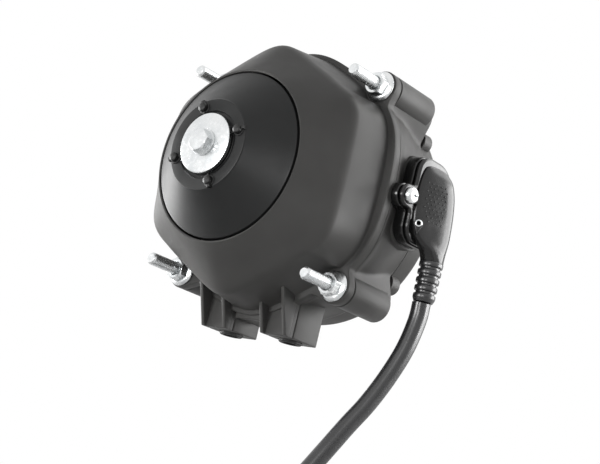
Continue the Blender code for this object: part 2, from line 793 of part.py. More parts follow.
def build_rear_housing():
    """Tub behind the seam: bosses, feet, inlet seat, and the ring web that carries stator and board."""
    front = SEAM + SEAM_HALF
    housing = loft(
        "rear_housing",
        [
            hex_ring(SEAM - SEAM_HALF, FLANGE_SIDE - GAP, FLANGE_SLANT - GAP, FLANGE_POWER),
            hex_ring(TUB_SHOULDER_DEPTH, TUB_SIDE, TUB_SLANT, FLANGE_POWER),
            between(
                hex_ring(TUB_BACK * 0.7, TUB_SIDE, TUB_SLANT, FLANGE_POWER),
                round_ring(TUB_BACK * 0.7, TUB_BACK_R),
                0.6,
            ),
            round_ring(TUB_BACK - FLANGE_EDGE, TUB_BACK_R),
            round_ring(TUB_BACK + GAP, TUB_BACK_R - FLANGE_EDGE),
        ],
        PLASTIC,
    )
    for number, at in enumerate(stud_places(), 1):
        x, _, z = at
        web = boss_outline((x * WEB_INSET, 0, z * WEB_INSET), BOSS_R * WEB_SLIM)
        join(housing, prism(f"rear_web_{number}", web, SEAM - GAP, WEB_BACK))
        boss = rod(f"rear_boss_{number}", BOSS_R, SEAM - 2 * GAP, BOSS_BACK, across=(x, z), sides=24)
        join(housing, boss)
    for number, side in enumerate((-1, 1), 1):
        low = foot_low(side)
        foot = box(
            f"foot_rear_{number}",
            (low, SEAM, FOOT_UNDER),
            (low + FOOT_WIDTH, FOOT_BACK, FOOT_TOP),
        )
        join(housing, foot)
    bridge = box(
        "bridge_rear",
        (-BRIDGE_WIDTH / 2, SEAM, BRIDGE_UNDER),
        (BRIDGE_WIDTH / 2, BRIDGE_BACK, FOOT_TOP),
    )
    join(housing, bridge)
    for number, at in enumerate(lug_places(), 1):
        start = TUB_BACK - LUG_PILLAR
        join(housing, rod(f"lug_pillar_{number}", LUG_PILLAR_R, start, TUB_BACK + 2 * GAP, across=at))
    seat_low = INLET_MIDDLE_DEPTH - INLET_WIDTH / 2 + INLET_CORNER * 0.3
    seat_half = INLET_HEIGHT / 2 - INLET_CORNER * 0.3
    seat = box(
        "inlet_seat_solid",
        (TUB_BORE_R - 2 * GAP, seat_low, -seat_half),
        (INLET_SEAT + 2 * GAP, TUB_BACK - 2 * GAP, seat_half),
    )
    join(housing, seat)
    clearance = prism("inlet_clearance", inlet_outline(2 * GAP), INLET_SEAT, INLET_SEAT * 1.2, facing="right")
    cut(housing, clearance)
    beyond = BOSS_BACK * 3
    cut(housing, box("rear_seam_trim", (-beyond, -SEAM, -beyond), (beyond, front, beyond)))
    cut(housing, box("rear_trim", (-beyond, TUB_BACK, -beyond), (beyond, beyond, beyond)))
    cut(housing, rod("carrier_pocket", CARRIER_R + GAP, 0, RING_WEB_FRONT, sides=ROUND_STEPS))
    cut(housing, rod("ring_web_hole", RING_WEB_R, 0, RING_WEB_BACK * 1.2, sides=ROUND_STEPS))
    cut(housing, rod("tub_bore", TUB_BORE_R, RING_WEB_BACK, TUB_BACK * 1.2, sides=ROUND_STEPS))
    for number, angle in enumerate(PILLAR_ANGLES, 1):
        at = polar(PILLAR_PITCH_R, angle)
        start = RING_WEB_BACK - GAP
        join(housing, rod(f"pillar_{number}", PILLAR_R, start, RING_WEB_BACK + PILLAR_HEIGHT, across=at))
        deep = RING_WEB_BACK + PILLAR_HEIGHT + BOARD_T - SMALL_SCREW_LENGTH
        cut(housing, rod(f"pillar_hole_{number}", SMALL_SCREW_R + GAP, deep, TUB_BACK, across=at))
    cut(housing, hex_band("seal_groove", SEAL_WIDTH / 2 + GAP, 0, front + SEAL_T + GAP))
    for number, (x, _, z) in enumerate(stud_places(), 1):
        cut(housing, rod(f"rear_stud_hole_{number}", STUD_R + GAP, 0, STUD_BACK + GAP, across=(x, z)))
    for number, side in enumerate((-1, 1), 1):
        hole = rod(
            f"bush_hole_{number}",
            BUSH_R + GAP,
            FOOT_UNDER * 1.1,
            FOOT_UNDER - BUSH_PROUD + BUSH_LENGTH + GAP,
            across=(side * FOOT_MIDDLE, BUSH_DEPTH),
            facing="up",
            sides=20,
        )
        cut(housing, hole)
    hole_r = COVER_SCREW_R + GAP
    start = TUB_BACK + LUG_HEIGHT - COVER_SCREW_LENGTH
    for number, at in enumerate(lug_places(), 1):
        cut(housing, rod(f"lug_hole_{number}", hole_r, start, TUB_BACK * 1.2, across=at))
    reach = INLET_SEAT + SOCKET_T + PLUG_FLANGE_T + 3 * GAP - PLUG_SCREW_LENGTH
    cut(
        housing,
        rod(
            "plug_screw_hole",
            PLUG_SCREW_R + GAP,
            reach - GAP,
            INLET_SEAT * 1.2,
            across=(LOBE_DEPTH, LOBE_Z),
            facing="right",
        ),
    )
    wires = box(
        "wire_hole",
        (RING_WEB_R, INLET_MIDDLE_DEPTH - WIRE_HOLE_WIDTH / 2, -WIRE_HOLE_HEIGHT / 2),
        (INLET_SEAT * 1.2, INLET_MIDDLE_DEPTH + WIRE_HOLE_WIDTH / 2, WIRE_HOLE_HEIGHT / 2),
    )
    cut(housing, wires)
    return housing


def build_seal():
    front = SEAM + SEAM_HALF
    hex_band("housing_seal", SEAL_WIDTH / 2, front, front + SEAL_T, RUBBER)


def build_rear_cover():
    """Round cap behind the board, with a spigot in the tub and four screw lugs."""
    front = TUB_BACK + GAP
    back = front + REAR_COVER_DEPTH
    spigot_r = TUB_BORE_R - GAP
    inner_r = spigot_r - SPIGOT_WALL
    cover = turned(
        "rear_cover",
        [
            (spigot_r, front - SPIGOT_LENGTH),
            (spigot_r, front),
            (COVER_R, front),
            (COVER_R, back - REAR_COVER_EDGE),
            (COVER_R - REAR_COVER_EDGE * 0.3, back - REAR_COVER_EDGE * 0.3),
            (COVER_R - REAR_COVER_EDGE, back),
            (0, back),
            (0, back - REAR_COVER_WALL),
            (inner_r, back - REAR_COVER_WALL),
            (inner_r, front - SPIGOT_LENGTH),
        ],
        PLASTIC,
        steps=ROUND_STEPS,
    )
    hole_r = COVER_SCREW_R + GAP
    for number, at in enumerate(lug_places(), 1):
        join(cover, rod(f"cover_lug_{number}", LUG_R, front + GAP / 2, front + LUG_HEIGHT, across=at))
        cut(cover, rod(f"cover_hole_{number}", hole_r, front - GAP, back * 1.2, across=at))
        flat = rod(
            f"head_clearance_{number}",
            COVER_SCREW_HEAD_R + GAP,
            front + LUG_HEIGHT - GAP,
            back * 1.2,
            across=at,
        )
        cut(cover, flat)
    return cover


def screw_profile(radius, length, head_r, head_t):
    """Pan head screw: the head stands in front of depth 0 and the shank behind it."""
    return [
        (0, -head_t),
        (head_r * 0.7, -head_t * 0.9),
        (head_r, -head_t * 0.4),
        (head_r, 0),
        (radius, 0),
        (radius, length - radius),
        (0, length),
    ]


def build_screws():
    length = COVER_SCREW_LENGTH - GAP
    cover_screw = screw_profile(COVER_SCREW_R, length, COVER_SCREW_HEAD_R, COVER_SCREW_HEAD_T)
    seat = TUB_BACK + GAP + LUG_HEIGHT
    pattern = turned("cover_screw_pattern", cover_screw, facing="back", steps=10)
    copies("cover_screw", pattern, [(x, seat, z) for x, z in lug_places()], ZINC)
    length = SMALL_SCREW_LENGTH - GAP
    board_screw = screw_profile(SMALL_SCREW_R, length, SMALL_SCREW_HEAD_R, SMALL_SCREW_HEAD_T)
    seat = RING_WEB_BACK + PILLAR_HEIGHT + BOARD_T + 2 * GAP
    pattern = turned("board_screw_pattern", board_screw, facing="back", steps=10)
    places = [polar(PILLAR_PITCH_R, angle) for angle in PILLAR_ANGLES]
    copies("board_screw", pattern, [(x, seat, z) for x, z in places], ZINC)
    plug_screw = screw_profile(PLUG_SCREW_R, PLUG_SCREW_LENGTH, PLUG_SCREW_HEAD_R, PLUG_SCREW_HEAD_T)
    head = INLET_SEAT + SOCKET_T + PLUG_FLANGE_T + 3 * GAP
    turned("plug_screw", plug_screw, ZINC, (head, LOBE_DEPTH, LOBE_Z), "right", 16)


def hex_nut_outline():
    corner = M5_ACROSS_FLATS / 2 / math.cos(math.pi / 6)
    return [polar(corner, math.pi / 6 + a) for a in angles(6)]


def build_studs():
    stud = turned(
        "stud_pattern",
        [
            (0, STUD_FRONT),
            (STUD_R * 0.7, STUD_FRONT),
            (STUD_R, STUD_FRONT + STUD_R * 0.5),
            (STUD_R, STUD_BACK - STUD_R * 0.3),
            (STUD_R * 0.7, STUD_BACK),
            (0, STUD_BACK),
        ],
        steps=12,
    )
    copies("stud", stud, stud_places(), ZINC)
    nut = prism("nut_pattern", hex_nut_outline(), -GAP - NUT_HEIGHT, -2 * GAP)
    flange = turned(
        "nut_flange",
        [
            (0, -GAP - NUT_FLANGE_T * 1.8),
            (M5_ACROSS_FLATS / 2, -GAP - NUT_FLANGE_T * 1.8),
            (NUT_FLANGE_R, -GAP - NUT_FLANGE_T * 0.6),
            (NUT_FLANGE_R, -GAP),
            (0, -GAP),
        ],
        steps=18,
    )
    join(nut, flange)
    cut(nut, rod("nut_bore", STUD_R + GAP, -NUT_HEIGHT * 2, NUT_HEIGHT))
    copies("flange_nut", nut, stud_places(), ZINC)


def build_bushes():
    for name, side in (("left", -1), ("right", 1)):
        top = FOOT_UNDER - BUSH_PROUD + BUSH_LENGTH
        edge = BUSH_PROUD * 0.3
        turned(
            f"foot_bush_{name}",
            [
                (BUSH_BORE_R, -top),
                (BUSH_R, -top),
                (BUSH_R, -(FOOT_UNDER - BUSH_PROUD + edge)),
                (BUSH_R - edge, -(FOOT_UNDER - BUSH_PROUD)),
                (BUSH_BORE_R, -(FOOT_UNDER - BUSH_PROUD)),
            ],
            RUBBER,
            (side * FOOT_MIDDLE, BUSH_DEPTH, 0),
            "up",
            20,
        )


def build_rotor():
    """Everything that spins: each piece has its origin on the shaft's axis, under one empty there."""
    rim_r = RIM_R - RIM_RUNNING_GAP
    slope = (RIM_DEPTH - HUB_FACE) / (rim_r - HUB_SEAT_R)
    iron_r = SKIRT_R - COVER_WALL * 0.6 - GAP
    inner_r = iron_r - HUB_WALL * 0.6
    inner_depth = RIM_DEPTH - (rim_r - inner_r) * slope + HUB_WALL
    wall_r = HUB_SEAT_R - HUB_WALL * 0.4
    wall_depth = inner_depth - (inner_r - wall_r) * slope
    race_r = SHAFT_R + GAP + RACE_T
    hub_end = FRONT_BEARING_DEPTH - GAP
    hub = turned(
        "rotor_hub",
        [
            (SHAFT_R + GAP, HUB_FACE),
            (HUB_BOSS_FACE_R, HUB_FACE),
            (HUB_BOSS_FACE_R, HUB_FACE + HUB_GROOVE_DEEP),
            (HUB_GROOVE_R, HUB_FACE + HUB_GROOVE_DEEP),
            (HUB_GROOVE_R, HUB_FACE),
            (HUB_SEAT_R - HUB_SEAT_EDGE, HUB_FACE),
            (HUB_SEAT_R, HUB_FACE + HUB_SEAT_EDGE * 0.6),
            (rim_r, RIM_DEPTH),
            (rim_r, RIM_DEPTH + HUB_SEAT_EDGE * 2),
            (SKIRT_R, RIM_DEPTH + HUB_SEAT_EDGE * 4),
            (SKIRT_R, SKIRT_BACK),
            (iron_r + GAP, SKIRT_BACK),
            (iron_r + GAP, IRON_FRONT - GAP),
            (inner_r, IRON_FRONT - GAP),
            (inner_r, inner_depth),
            (wall_r, wall_depth),
            (HUB_BOSS_R, wall_depth),
            (HUB_BOSS_R, hub_end - HUB_WALL),
            (race_r, hub_end),
            (SHAFT_R + GAP, hub_end),
        ],
        ROTOR_PLASTIC,
        steps=ROUND_STEPS,
    )
    for number, angle in enumerate(angles(PEG_COUNT), 1):
        turn = PEG_ANGLE + angle
        x, z = polar(PEG_PITCH_R, turn)
        slot = rod(
            f"peg_slot_{number}",
            PEG_SLOT_WIDTH / 2,
            HUB_FACE - HUB_WALL,
            HUB_FACE + PEG_SLOT_DEEP,
            across=(x, z),
        )
        cut(hub, slot)
        peg = rod(
            f"peg_{number}",
            PEG_R,
            HUB_FACE - PEG_PROUD,
            HUB_FACE + HUB_WALL * 0.6,
            across=(x, z),
            sides=12,
        )
        join(hub, peg)
    iron = turned(
        "rotor_back_iron",
        [
            (iron_r - IRON_T, IRON_FRONT),
            (iron_r, IRON_FRONT),
            (iron_r, SKIRT_BACK - GAP),
            (iron_r - IRON_T, SKIRT_BACK - GAP),
        ],
        IRON,
    )
    magnet_r = iron_r - IRON_T - GAP
    magnet = turned(
        "magnet_ring",
        [
            (magnet_r - MAGNET_T, IRON_FRONT + MAGNET_INSET),
            (magnet_r, IRON_FRONT + MAGNET_INSET),
            (magnet_r, SKIRT_BACK - MAGNET_INSET),
            (magnet_r - MAGNET_T, SKIRT_BACK - MAGNET_INSET),
        ],
        MAGNET,
    )
    retainer_front = REAR_BEARING_DEPTH + BEARING_W + WAVE_WASHER_T + 2 * GAP
    groove_r = SHAFT_R - RETAINER_GROOVE
    edge = SHAFT_R * 0.15
    shaft = turned(
        "rotor_shaft",
        [
            (0, SHAFT_FRONT),
            (SHAFT_R - edge, SHAFT_FRONT),
            (SHAFT_R, SHAFT_FRONT + edge),
            (SHAFT_R, retainer_front - GAP),
            (groove_r, retainer_front - GAP),
            (groove_r, retainer_front + RETAINER_T + GAP),
            (SHAFT_R, retainer_front + RETAINER_T + GAP),
            (SHAFT_R, SHAFT_BACK - edge),
            (SHAFT_R - edge, SHAFT_BACK),
            (0, SHAFT_BACK),
        ],
        STEEL,
        steps=20,
    )
    bolt_seat = HUB_FACE - WASHER_T - 2 * GAP
    cut(shaft, rod("bolt_hole", STUD_R + GAP, SHAFT_FRONT - GAP, bolt_seat + BOLT_LENGTH + GAP))
    washer = turned(
        "blade_washer",
        [
            (STUD_R + GAP, HUB_FACE - GAP - WASHER_T),
            (WASHER_R - WASHER_T * 0.2, HUB_FACE - GAP - WASHER_T),
            (WASHER_R, HUB_FACE - GAP - WASHER_T * 0.8),
            (WASHER_R, HUB_FACE - GAP),
            (STUD_R + GAP, HUB_FACE - GAP),
        ],
        ZINC,
    )
    bolt = turned(
        "hub_bolt",
        [
            (0, bolt_seat - GAP),
            (STUD_R, bolt_seat - GAP),
            (STUD_R, bolt_seat + BOLT_LENGTH - STUD_R * 0.4),
            (STUD_R * 0.6, bolt_seat + BOLT_LENGTH),
            (0, bolt_seat + BOLT_LENGTH),
        ],
        ZINC,
        steps=12,
    )
    head = prism("bolt_head", hex_nut_outline(), bolt_seat - BOLT_HEAD_T, bolt_seat)
    corner = M5_ACROSS_FLATS / 2 / math.cos(math.pi / 6)
    crown = turned(
        "bolt_crown",
        [
            (0, bolt_seat - BOLT_HEAD_T - GAP),
            (M5_ACROSS_FLATS / 2, bolt_seat - BOLT_HEAD_T - GAP),
            (corner * 1.1, bolt_seat - BOLT_HEAD_T + corner * 0.25),
            (corner * 1.1, bolt_seat + GAP),
            (0, bolt_seat + GAP),
        ],
    )
    change(head, crown, "INTERSECT")
    join(bolt, head)
    wave = turned(
        "wave_washer",
        [
            (SHAFT_R + GAP, retainer_front - GAP - WAVE_WASHER_T),
            (race_r, retainer_front - GAP - WAVE_WASHER_T),
            (race_r, retainer_front - GAP),
            (SHAFT_R + GAP, retainer_front - GAP),
        ],
        STEEL,
        steps=24,
    )
    retainer = prism(
        "retaining_ring",
        circle(RETAINER_R),
        retainer_front,
        retainer_front + RETAINER_T,
        STEEL,
    )
    cut(retainer, rod("retainer_bore", groove_r + GAP, 0, SHAFT_BACK * 2))
    axis = bpy.data.objects.new("rotor_axis", None)
    MOTOR.objects.link(axis)
    for piece in (hub, iron, magnet, shaft, washer, bolt, wave, retainer):
        piece.parent = axis
    return magnet_r - MAGNET_T


def build_bearings():
    for name, start in (("front", FRONT_BEARING_DEPTH), ("rear", REAR_BEARING_DEPTH)):
        inner = SHAFT_R + GAP
        end = start + BEARING_W
        turned(
            f"{name}_bearing",
            [(inner, start), (BEARING_R, start), (BEARING_R, end), (inner, end)],
            STEEL,
            steps=28,
        )


def build_carrier():
    """Bearing tube and disc in one casting. The disc's rim is clamped between the two housings."""
    bore = BEARING_R + GAP
    core_seat = CORE_BACK + GAP
    lip = REAR_BEARING_DEPTH + BEARING_W + GAP
    stop = FRONT_BEARING_DEPTH + BEARING_W + GAP
    carrier = turned(
        "stator_carrier",
        [
            (bore, FRONT_BEARING_DEPTH),
            (TUBE_R, FRONT_BEARING_DEPTH),
            (TUBE_R, core_seat),
            (TUBE_R + CORE_YOKE_T, core_seat),
            (TUBE_R + CORE_YOKE_T, CARRIER_FRONT),
            (CARRIER_R - 2 * CLAMP_WIDTH, CARRIER_FRONT),
            (CARRIER_R - 2 * CLAMP_WIDTH, SEAM + SEAM_HALF),
            (CARRIER_R, SEAM + SEAM_HALF),
            (CARRIER_R, CARRIER_BACK),
            (BEARING_R - BEARING_LIP, CARRIER_BACK),
            (BEARING_R - BEARING_LIP, lip),
            (bore, lip),
            (bore, REAR_BEARING_DEPTH - GAP),
            (BEARING_R - BEARING_LIP, REAR_BEARING_DEPTH - GAP),
            (BEARING_R - BEARING_LIP, stop),
            (bore, stop),
        ],
        IRON,
    )
    return carrier


def core_outline(core_r):
    """Stator plate: a yoke ring's outer edge with T-shaped teeth, as (across, height)."""
    yoke = TUBE_R + GAP + CORE_YOKE_T
    tip_in = core_r - TOOTH_TIP_T
    pitch = 2 * math.pi / TOOTH_COUNT
    half_tip = (pitch - SLOT_OPENING) / 2
    points = []
    for k in range(TOOTH_COUNT):
        middle = k * pitch
        root = math.asin(TOOTH_WIDTH / 2 / yoke)
        neck = math.asin(TOOTH_WIDTH / 2 / tip_in)
        points.append(polar(yoke, middle - pitch / 2))
        points.append(polar(yoke, middle - root))
        points.append(polar(tip_in, middle - neck))
        points.append(polar(tip_in, middle - half_tip))
        for step in (-1, 0, 1):
            points.append(polar(core_r, middle + half_tip * step))
        points.append(polar(tip_in, middle + half_tip))
        points.append(polar(tip_in, middle + neck))
        points.append(polar(yoke, middle + root))
    return points


def build_stator(magnet_bore):
    core_r = magnet_bore - AIR_GAP
    front = CORE_BACK - CORE_LENGTH
    core = prism("stator_core", core_outline(core_r), front, CORE_BACK, IRON)
    cut(core, rod("core_bore", TUBE_R + GAP, front - CORE_LENGTH, 0, sides=24))
    low = TUBE_R + GAP + CORE_YOKE_T + GAP
    high = core_r - TOOTH_TIP_T - GAP
    half_in = TOOTH_WIDTH / 2 + GAP
    half_out = half_in + WINDING_T
    limit = low * math.sin(math.pi / TOOTH_COUNT) - GAP
    half_out = min(half_out, limit)
    coil_front = front - WINDING_T
    coil_back = CORE_BACK + WINDING_T
    winding = turned(
        "stator_winding",
        [
            (low, coil_front),
            (high, coil_front),
            (high, coil_back),
            (low + LINK_WIDTH, coil_back),
            (low + LINK_WIDTH, coil_back + LINK_T),
            (low, coil_back + LINK_T),
        ],
        COPPER,
        steps=4 * TOOTH_COUNT,
    )
    tooth_space = box(
        "tooth_space",
        (low - WINDING_T, front - GAP, -half_in),
        (high + WINDING_T, CORE_BACK + GAP, half_in),
    )
    cut(winding, spread("tooth_spaces", tooth_space, TOOTH_COUNT))
    space = low * math.sin(math.pi / TOOTH_COUNT) - half_out
    slot_space = box(
        "slot_space",
        (low - WINDING_T, coil_front - GAP, -space),
        (high + WINDING_T, coil_back, space),
    )
    slot_space.matrix_world = Matrix.Rotation(-math.pi / TOOTH_COUNT, 4, "Y")
    cut(winding, spread("slot_spaces", slot_space, TOOTH_COUNT))


def build_board():
    front = RING_WEB_BACK + PILLAR_HEIGHT + GAP
    back = front + BOARD_T
    board = prism("control_board", circle(BOARD_R, sides=36), front, back, BOARD_GREEN)
    for number, angle in enumerate(PILLAR_ANGLES, 1):
        at = polar(PILLAR_PITCH_R, angle)
        cut(board, rod(f"board_hole_{number}", SMALL_SCREW_R + GAP, 0, back * 2, across=at))
    seat = back + GAP
    can = turned(
        "can_pattern",
        [
            (0, seat),
            (CAN_R, seat),
            (CAN_R, seat + CAN_LENGTH * 0.95),
            (CAN_R * 0.9, seat + CAN_LENGTH),
            (0, seat + CAN_LENGTH),
        ],
        steps=24,
    )
    copies("board_capacitor", can, [(x, 0, z) for x, z in CAN_PLACES], CAN_GREY)
    x, z = CHOKE_PLACE
    turned(
        "board_choke",
        [
            (CHOKE_R - CHOKE_WIRE, seat),
            (CHOKE_R + CHOKE_WIRE, seat),
            (CHOKE_R + CHOKE_WIRE, seat + 2 * CHOKE_WIRE),
            (CHOKE_R - CHOKE_WIRE, seat + 2 * CHOKE_WIRE),
        ],
        COPPER,
        (x, 0, z),
        steps=24,
    )
    x, z = MODULE_PLACE
    box(
        "board_power_module",
        (x - MODULE_WIDTH / 2, seat, z - MODULE_HEIGHT / 2),
        (x + MODULE_WIDTH / 2, seat + MODULE_T, z + MODULE_HEIGHT / 2),
        CAN_GREY,
    )
    return back


def pin_heights():
    return [-PIN_PITCH, 0, PIN_PITCH]


def build_inlet(board_back):
    start = INLET_SEAT + GAP
    end = start + SOCKET_T
    socket = prism("inlet_socket", inlet_outline(), start, end, INLET_PLASTIC, "right")
    half_w = SOCKET_POCKET_WIDTH / 2
    half_h = SOCKET_POCKET_HEIGHT / 2
    pocket = box(
        "socket_pocket",
        (start + SOCKET_FLOOR, INLET_MIDDLE_DEPTH - half_w, -half_h),
        (end * 1.2, INLET_MIDDLE_DEPTH + half_w, half_h),
    )
    cut(socket, pocket)
    seam_room = box(
        "seam_room",
        (0, 0, -INLET_HEIGHT),
        (FLANGE_SIDE + GAP, SEAM + 2 * GAP, INLET_HEIGHT),
    )
    cut(socket, seam_room)
    screw_at = (LOBE_DEPTH, LOBE_Z)
    hole_r = PLUG_SCREW_R + GAP
    cut(socket, rod("socket_screw_hole", hole_r, 0, end * 1.2, across=screw_at, facing="right"))
    tail = start - PIN_TAIL
    for k, z in enumerate(pin_heights(), 1):
        at = (INLET_MIDDLE_DEPTH, z)
        cut(socket, rod(f"pin_hole_{k}", PIN_R + GAP, 0, end * 1.2, across=at, facing="right", sides=12))
        route = [
            (end - GAP, INLET_MIDDLE_DEPTH, z),
            (tail, INLET_MIDDLE_DEPTH, z),
            (tail - PIN_BEND * 0.3, INLET_MIDDLE_DEPTH - PIN_BEND * 0.08, z),
            (tail - PIN_BEND, INLET_MIDDLE_DEPTH - PIN_BEND * 0.7, z),
            (tail - PIN_BEND * 1.1, board_back + GAP, z),
        ]
        tube(f"inlet_pin_{k}", route, PIN_R, BRASS)


def plug_ring(height, inward, depth, half_width, front, back, sides=20):
    """Level section of the plug body: an oval with square shoulders."""
    ring = []
    share = 2 / PLUG_CORNER_POWER
    for angle in angles(sides):
        c, s = math.cos(angle), math.sin(angle)
        thick = front if c > 0 else back
        x = PLUG_NECK_X - inward + thick * math.copysign(abs(c) ** share, c)
        y = depth + half_width * math.copysign(abs(s) ** share, s)
        ring.append((x, y, height))
    return ring


def build_plug():
    """Right-angle plug: a flange, a nose with pin holes, and the overmoulded body."""
    start = INLET_SEAT + SOCKET_T + 2 * GAP
    end = start + PLUG_FLANGE_T
    plug = prism("power_plug", inlet_outline(-GAP), start, end, INLET_PLASTIC, "right")
    join(plug, loft("plug_body", [plug_ring(*station) for station in PLUG_STATIONS]))
    half_w = SOCKET_POCKET_WIDTH / 2 - GAP
    half_h = SOCKET_POCKET_HEIGHT / 2 - GAP
    nose = box(
        "plug_nose",
        (start - PLUG_NOSE_LENGTH, INLET_MIDDLE_DEPTH - half_w, -half_h),
        (start + GAP, INLET_MIDDLE_DEPTH + half_w, half_h),
    )
    join(plug, nose)
    for k, z in enumerate(pin_heights()):
        hole = rod(
            f"plug_pin_hole_{k}",
            PIN_R + GAP,
            start - PLUG_NOSE_LENGTH - GAP,
            start + GAP,
            across=(INLET_MIDDLE_DEPTH, z),
            facing="right",
            sides=12,
        )
        cut(plug, hole)
    screw_at = (LOBE_DEPTH, LOBE_Z)
    low = start - GAP
    hole_r = PLUG_SCREW_R + GAP
    cut(plug, rod("plug_flange_hole", hole_r, low, end + GAP, across=screw_at, facing="right"))
    head_r = PLUG_SCREW_HEAD_R + GAP
    head_room = rod(
        "screw_head_room",
        head_r,
        end + GAP / 2,
        end + 4 * PLUG_SCREW_HEAD_T,
        across=screw_at,
        facing="right",
    )
    cut(plug, head_room)
    return plug


def build_strain_relief():
    """Ribbed sleeve on the lead below the plug body."""
    top = PLUG_STATIONS[-1][0] - GAP
    profile = [(0, -top), (RELIEF_TOP_R, -top)]
    pitch = RELIEF_LENGTH / RELIEF_RIBS
    for k in range(RELIEF_RIBS):
        share = (k + 0.5) / RELIEF_RIBS
        radius = RELIEF_TOP_R + (RELIEF_END_R - RELIEF_TOP_R) * share
        start = -top + k * pitch
        profile.append((radius, start + pitch * 0.6))
        if k < RELIEF_RIBS - 1:
            profile.append((radius - RELIEF_GROOVE, start + pitch * 0.68))
            profile.append((radius - RELIEF_GROOVE, start + pitch * 0.92))
            profile.append((radius, start + pitch))
    profile.append((RELIEF_END_R, -top + RELIEF_LENGTH))
    profile.append((0, -top + RELIEF_LENGTH))
    turned("strain_relief", profile, INLET_PLASTIC, (PLUG_NECK_X, RELIEF_DEPTH, 0), "up", 16)


def coil_point(travel, radius, height):
    """A point of the coil after an angle of travel, clockwise from above, from where the lead comes in."""
    turn = COIL_START - travel
    return (
        COIL_MIDDLE.x + radius * math.cos(turn),
        COIL_MIDDLE.y + radius * math.sin(turn),
        SURFACE + TIE_T + GAP + height,
    )


def layer_height(number):
    """Middle of a layer of turns above the coil's underside, the lowest being number 0."""
    return CORD_R + number * (2 * CORD_R + TURN_GAP)


def build_lead():
    """The free stretch, the coil of stacked turns, its ties, and the tail on the coil's inside."""
    free = [(PLUG_NECK_X - inward, depth, height) for inward, depth, height in LEAD_ROUTE]
    topmost = layer_height(COIL_LAYERS)
    landed = [coil_point(LANDED_TO * k / 3, COIL_R, topmost) for k in range(4)]
    tube("power_lead", smooth_route([*free, *landed], 3 * LEAD_STEP), CORD_R, LEAD_BLACK)
    top = layer_height(COIL_LAYERS - 1) + CORD_R - GAP / 2
    inner = COIL_R - CORD_R
    outer = COIL_R + CORD_R
    edge = CORD_R * 0.4
    middle = (COIL_MIDDLE.x, COIL_MIDDLE.y, SURFACE + TIE_T + GAP)
    profile = [
        (inner + edge, -top),
        (outer - edge, -top),
        (outer, edge - top),
        (outer, -edge),
        (outer - edge, 0),
        (inner + edge, 0),
        (inner, -edge),
        (inner, edge - top),
    ]
    turned("lead_coil", profile, LEAD_BLACK, middle, "up", 40)
    for number, angle in enumerate(TIE_ANGLES, 1):
        build_tie(number, angle, inner, outer, top)
    build_tail()


def build_tail():
    """The end of the lead on the coil's inside, its sleeve, and three bare cores that droop."""
    turn = TAIL_TO - TAIL_FROM
    tail = [coil_point(TAIL_FROM + turn * k / 4, TAIL_R, CORD_R) for k in range(5)]
    tube("lead_tail", tail, CORD_R, LEAD_BLACK)
    at = TAIL_TO + 2 * GAP / TAIL_R
    sleeve_turn = SLEEVE_LENGTH / TAIL_R
    sleeve = [coil_point(at + sleeve_turn * k / 3, TAIL_R, CORD_R) for k in range(4)]
    tube("end_sleeve", sleeve, SLEEVE_R, RUBBER)
    at += sleeve_turn + 3 * GAP / TAIL_R
    core_turn = CORE_LENGTH_OUT / TAIL_R
    for name, offset, finish in (
        ("brown", -1, LEAD_BROWN),
        ("blue", 0, LEAD_BLUE),
        ("green", 1, LEAD_GREEN),
    ):
        radius = TAIL_R + offset * CORE_SPREAD
        core = []
        for k in range(5):
            height = CORD_R - (CORD_R - CORE_R) * math.sin(math.pi / 2 * k / 4)
            core.append(coil_point(at + core_turn * k / 4, radius, height))
        tube(f"core_{name}", core, CORE_R, finish)


def build_tie(number, angle, inner, outer, top):
    """Strap once round the bundle of turns, its lower run on the surface."""
    near = inner - GAP
    far = outer + GAP
    ring = [
        (near - TIE_T, -TIE_T - GAP),
        (far + TIE_T, -TIE_T - GAP),
        (far + TIE_T, top + GAP),
        (far, top + GAP + TIE_T),
        (near, top + GAP + TIE_T),
        (near - TIE_T, top + GAP),
    ]
    space = [
        (near, -GAP),
        (far, -GAP),
        (far, top + GAP / 2),
        (far - GAP, top + GAP),
        (near + GAP, top + GAP),
        (near, top + GAP / 2),
    ]
    strap = prism(f"coil_tie_{number}", ring, -TIE_WIDTH / 2, TIE_WIDTH / 2, RUBBER)
    hole = prism(f"tie_space_{number}", space, -TIE_WIDTH, TIE_WIDTH)
    at = Matrix.Translation((COIL_MIDDLE.x, COIL_MIDDLE.y, SURFACE + TIE_T + GAP))
    turn = at @ Matrix.Rotation(angle, 4, "Z") @ FACING["front"]
    strap.matrix_world = turn
    hole.matrix_world = turn
    cut(strap, hole)


def build_motor():
    build_front_housing()
    build_rear_housing()
    build_seal()
    build_rear_cover()
    build_screws()
    build_studs()
    build_bushes()
    magnet_bore = build_rotor()
    build_bearings()
    build_carrier()
    build_stator(magnet_bore)
    board_back = build_board()
    build_inlet(board_back)
    build_plug()
    build_strain_relief()
    build_lead()


build_motor()
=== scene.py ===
# %% [markdown]
# # A refrigeration fan motor, dressed for its portrait
# The motor drives a small fan in a display fridge. A conical rotor turns inside a six-sided moulded
# housing, four studs stand forward at its corners, and a right-angle plug brings the mains lead in.
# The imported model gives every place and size. This lesson puts the fine surfaces over it, piece by piece.

import json
import math

import bmesh
import bpy
import numpy as np
from mathutils import Matrix, Vector

